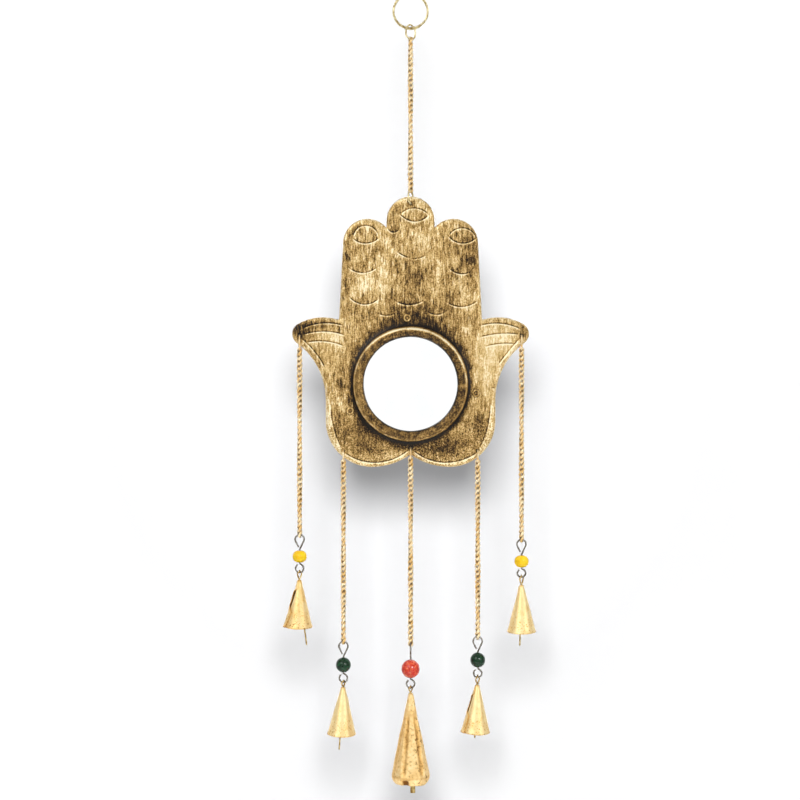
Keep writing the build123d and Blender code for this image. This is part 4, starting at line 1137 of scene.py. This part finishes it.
def buildBellWires():
    wire, innerEye = wireSizes["bellWire"], wireSizes["innerEye"]
    for strand in strands:
        node = strand + "_bell_wire"
        hinge = hinges[strand + "_bell_swing"] / mm
        eye = wireSizes["shortEye"] if strand in wireSizes["shortEyed"] else wireSizes["longEye"]
        lean = math.radians(bells[strand][1])
        low = (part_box(node)[0].z / mm + wire / 2 - hinge[2] - hangHeight) / math.cos(lean)
        outer = eyeLoop(*eye, 90.0, wireSizes["eyeTurn"]) - (0, 0, eye[1])
        inner = eyeLoop(*innerEye, 90.0, 90.0) * (1, 1, -1) + (0, 0, low + innerEye[1])
        place = Matrix.Translation((hinge[0], 0, hinge[2] + hangHeight)) @ Matrix.Rotation(lean, 4, "Y")
        path = [tuple(place @ Vector(point)) for point in np.vstack((inner[::-1], outer))]
        bendWire(node, path, wire, bellWire, strand + "_bell")


buildLinks()
buildBellWires()

# CAD pieces whose shape is right take a finish
finishes = {"mirror_glass": silveredGlass(), "mirror_backing": tinnedSheet(), "hanging_ring": ringWire}
beadGlass = {name: glassBead(name) for name in glassLook}
for strand, facts in strands.items():
    finishes[strand + "_hook"] = chainMetal
    finishes[strand + "_pin"] = pinWire
    finishes[strand + "_clapper"] = bellWire
    finishes[strand + "_bead"] = beadGlass[facts[-1]]
for node, material in finishes.items():
    cadNodes[node].material_slots[0].material = material
print("finishes set on", len(finishes), "nodes")

# Stage: a pale sweep of floor and wall that shows from its front only, so the back can be looked at
stageSizes = {"wall": 0.45, "floor": -0.75, "bend": 0.2, "front": -2.2, "top": 1.6, "side": 2.4,
              "dull": "#959596", "pale": "#999999",
              "glowCentre": (0.0, 0.45, -0.21), "glowFrom": 0.24, "glowFull": 0.9, "glow": 0.42}


def paperWhite():
    # diffuse paper that pales away from the middle, for what looks at it straight or in a mirror
    size = stageSizes
    material, tree, coords = newMaterial("paperWhite")
    tone = addNode(tree, "ShaderNodeTexNoise", {"Vector": coords, "Scale": 3.0})
    colour = addNode(tree, "ShaderNodeValToRGB", (tone,), stops=((0.3, size["dull"]), (0.7, size["pale"])))
    paper = addNode(tree, "ShaderNodeBsdfDiffuse", {"Color": colour})
    path = addNode(tree, "ShaderNodeLightPath").outputs
    seen = path["Is Camera Ray"]
    for ray in ("Is Glossy Ray", "Is Transmission Ray"):
        seen = addNode(tree, "ShaderNodeMath", (seen, path[ray]), operation="MAXIMUM")
    away = addNode(tree, "ShaderNodeVectorMath", (coords, size["glowCentre"]), operation="DISTANCE")
    paler = addNode(tree, "ShaderNodeMapRange", (
        away.outputs["Value"], size["glowFrom"], size["glowFull"], 0.0, size["glow"]))
    veil = addNode(tree, "ShaderNodeMath", (seen, paler), operation="MULTIPLY")
    glow = addNode(tree, "ShaderNodeEmission", {"Color": (1, 1, 1, 1), "Strength": veil})
    lit = addNode(tree, "ShaderNodeAddShader", (paper, glow))
    behind = addNode(tree, "ShaderNodeNewGeometry").outputs["Backfacing"]
    both = addNode(tree, "ShaderNodeMixShader", (behind, lit, addNode(tree, "ShaderNodeBsdfTransparent")))
    addNode(tree, "ShaderNodeOutputMaterial", {"Surface": both})
    return material


def buildStage():
    size = stageSizes
    line = [(size["front"], size["floor"])]
    for a in np.linspace(0, math.pi / 2, 13):
        y, z = size["bend"] * (math.sin(a) - 1), size["bend"] * (1 - math.cos(a))
        line.append((size["wall"] + y, size["floor"] + z))
    line.append((size["wall"], size["top"]))
    points = [(x / mm, y / mm, z / mm) for y, z in line for x in (-size["side"], size["side"])]
    faces = [(2 * i, 2 * i + 1, 2 * i + 3, 2 * i + 2) for i in range(len(line) - 1)]
    sweep = newObject("paperSweep", points, faces)
    sweep.data.shade_smooth()
    sweep.data.materials.append(paperWhite())
    return sweep


sweep = buildStage()

# Light: a pale room, brightest behind the camera and above, two soft lamps, and two for one thing alone
lampSizes = {
    "softLamp": {"place": (-0.9, -1.3, 0.75), "aim": (0, 0, -0.2), "size": 1.1, "power": 10.0},
    "sideLamp": {"place": (1.2, -1.2, 0.1), "aim": (0, 0, -0.22), "size": 0.9, "power": 5.0},
    "wallLamp": {"place": (-0.008, -0.9, -0.152), "aim": (-0.0056, 0.45, -0.2146), "size": 0.1,
                 "power": 43.8},
    "beadLamp": {"place": (0.35, -0.8, 0.1), "aim": (0, 0, -0.35), "size": 0.25, "power": 4.0},
}
litAlone = {  # the soft shadow on the wall, and a spark in the glass
    "wallLamp": [sweep],
    "beadLamp": [cadNodes[strand + "_bead"] for strand in strands],
}
for name, lamp in lampSizes.items():
    light = bpy.data.lights.new(name, "AREA")
    light.shape = "DISK"
    light.size = lamp["size"]
    light.energy = lamp["power"]
    holder = bpy.data.objects.new(name, light)
    holder.location = lamp["place"]
    holder.rotation_euler = (Vector(lamp["aim"]) - Vector(lamp["place"])).to_track_quat("-Z", "Y").to_euler()
    bpy.context.scene.collection.objects.link(holder)
    if name in litAlone:
        receivers = bpy.data.collections.new(name + "Only")
        for obj in litAlone[name]:
            receivers.objects.link(obj)
        holder.light_linking.receiver_collection = receivers

roomLook = {"dim": 0.5, "card": 0.5, "cardFrom": -0.7, "cardFull": -0.97, "sky": 0.3, "skyFrom": -0.2,
            "backdropFrom": -0.1, "backdropFull": 0.25}


def paleRoom():
    look = roomLook
    room = bpy.data.worlds.new("paleRoom")
    room.use_nodes = True
    tree = room.node_tree
    tree.nodes.clear()
    coords = addNode(tree, "ShaderNodeTexCoord").outputs["Generated"]
    way = addNode(tree, "ShaderNodeSeparateXYZ", (coords,)).outputs
    card = addNode(tree, "ShaderNodeMapRange", (
        way["Y"], look["cardFrom"], look["cardFull"], 0.0, look["card"]), interpolation_type="SMOOTHSTEP")
    sky = addNode(tree, "ShaderNodeMapRange", (way["Z"], look["skyFrom"], 1.0, 0.0, look["sky"]))
    level = addNode(tree, "ShaderNodeMath", (card, sky), operation="ADD")
    level = addNode(tree, "ShaderNodeMath", (level, look["dim"]), operation="ADD")
    # white where the camera or a mirror looks past the object
    path = addNode(tree, "ShaderNodeLightPath").outputs
    shine = addNode(tree, "ShaderNodeMath", (path["Is Glossy Ray"], path["Is Transmission Ray"]),
                    operation="MAXIMUM")
    backdrop = addNode(tree, "ShaderNodeMapRange", (way["Y"], look["backdropFrom"], look["backdropFull"]))
    shine = addNode(tree, "ShaderNodeMath", (shine, backdrop), operation="MULTIPLY")
    seen = addNode(tree, "ShaderNodeMath", (shine, path["Is Camera Ray"]), operation="MAXIMUM")
    strength = addNode(tree, "ShaderNodeMix", {0: seen, 2: level, 3: 1.0})
    white = addNode(tree, "ShaderNodeBackground", {"Color": (1, 1, 1, 1), "Strength": strength})
    addNode(tree, "ShaderNodeOutputWorld", {"Surface": white})
    return room


bpy.context.scene.world = paleRoom()

# Camera: level, square on
cameraLook = {"distance": 0.9, "frameWidth": 0.424, "sensor": 36.0, "x": -5.6, "belowMirror": 8.5,
              "farEnd": 50.0}
lens = bpy.data.cameras.new("frontCamera")
lens.sensor_width = cameraLook["sensor"]
lens.lens = cameraLook["sensor"] * cameraLook["distance"] / cameraLook["frameWidth"]
lens.clip_end = cameraLook["farEnd"]
camera = bpy.data.objects.new("frontCamera", lens)
camera.location = (cameraLook["x"] * mm, -cameraLook["distance"], (mirrorZ - cameraLook["belowMirror"]) * mm)
camera.rotation_euler = (math.radians(90), 0, 0)
bpy.context.scene.collection.objects.link(camera)
bpy.context.scene.camera = camera
bpy.context.scene.view_settings.view_transform = "Standard"
print("stage, lamps and camera set")
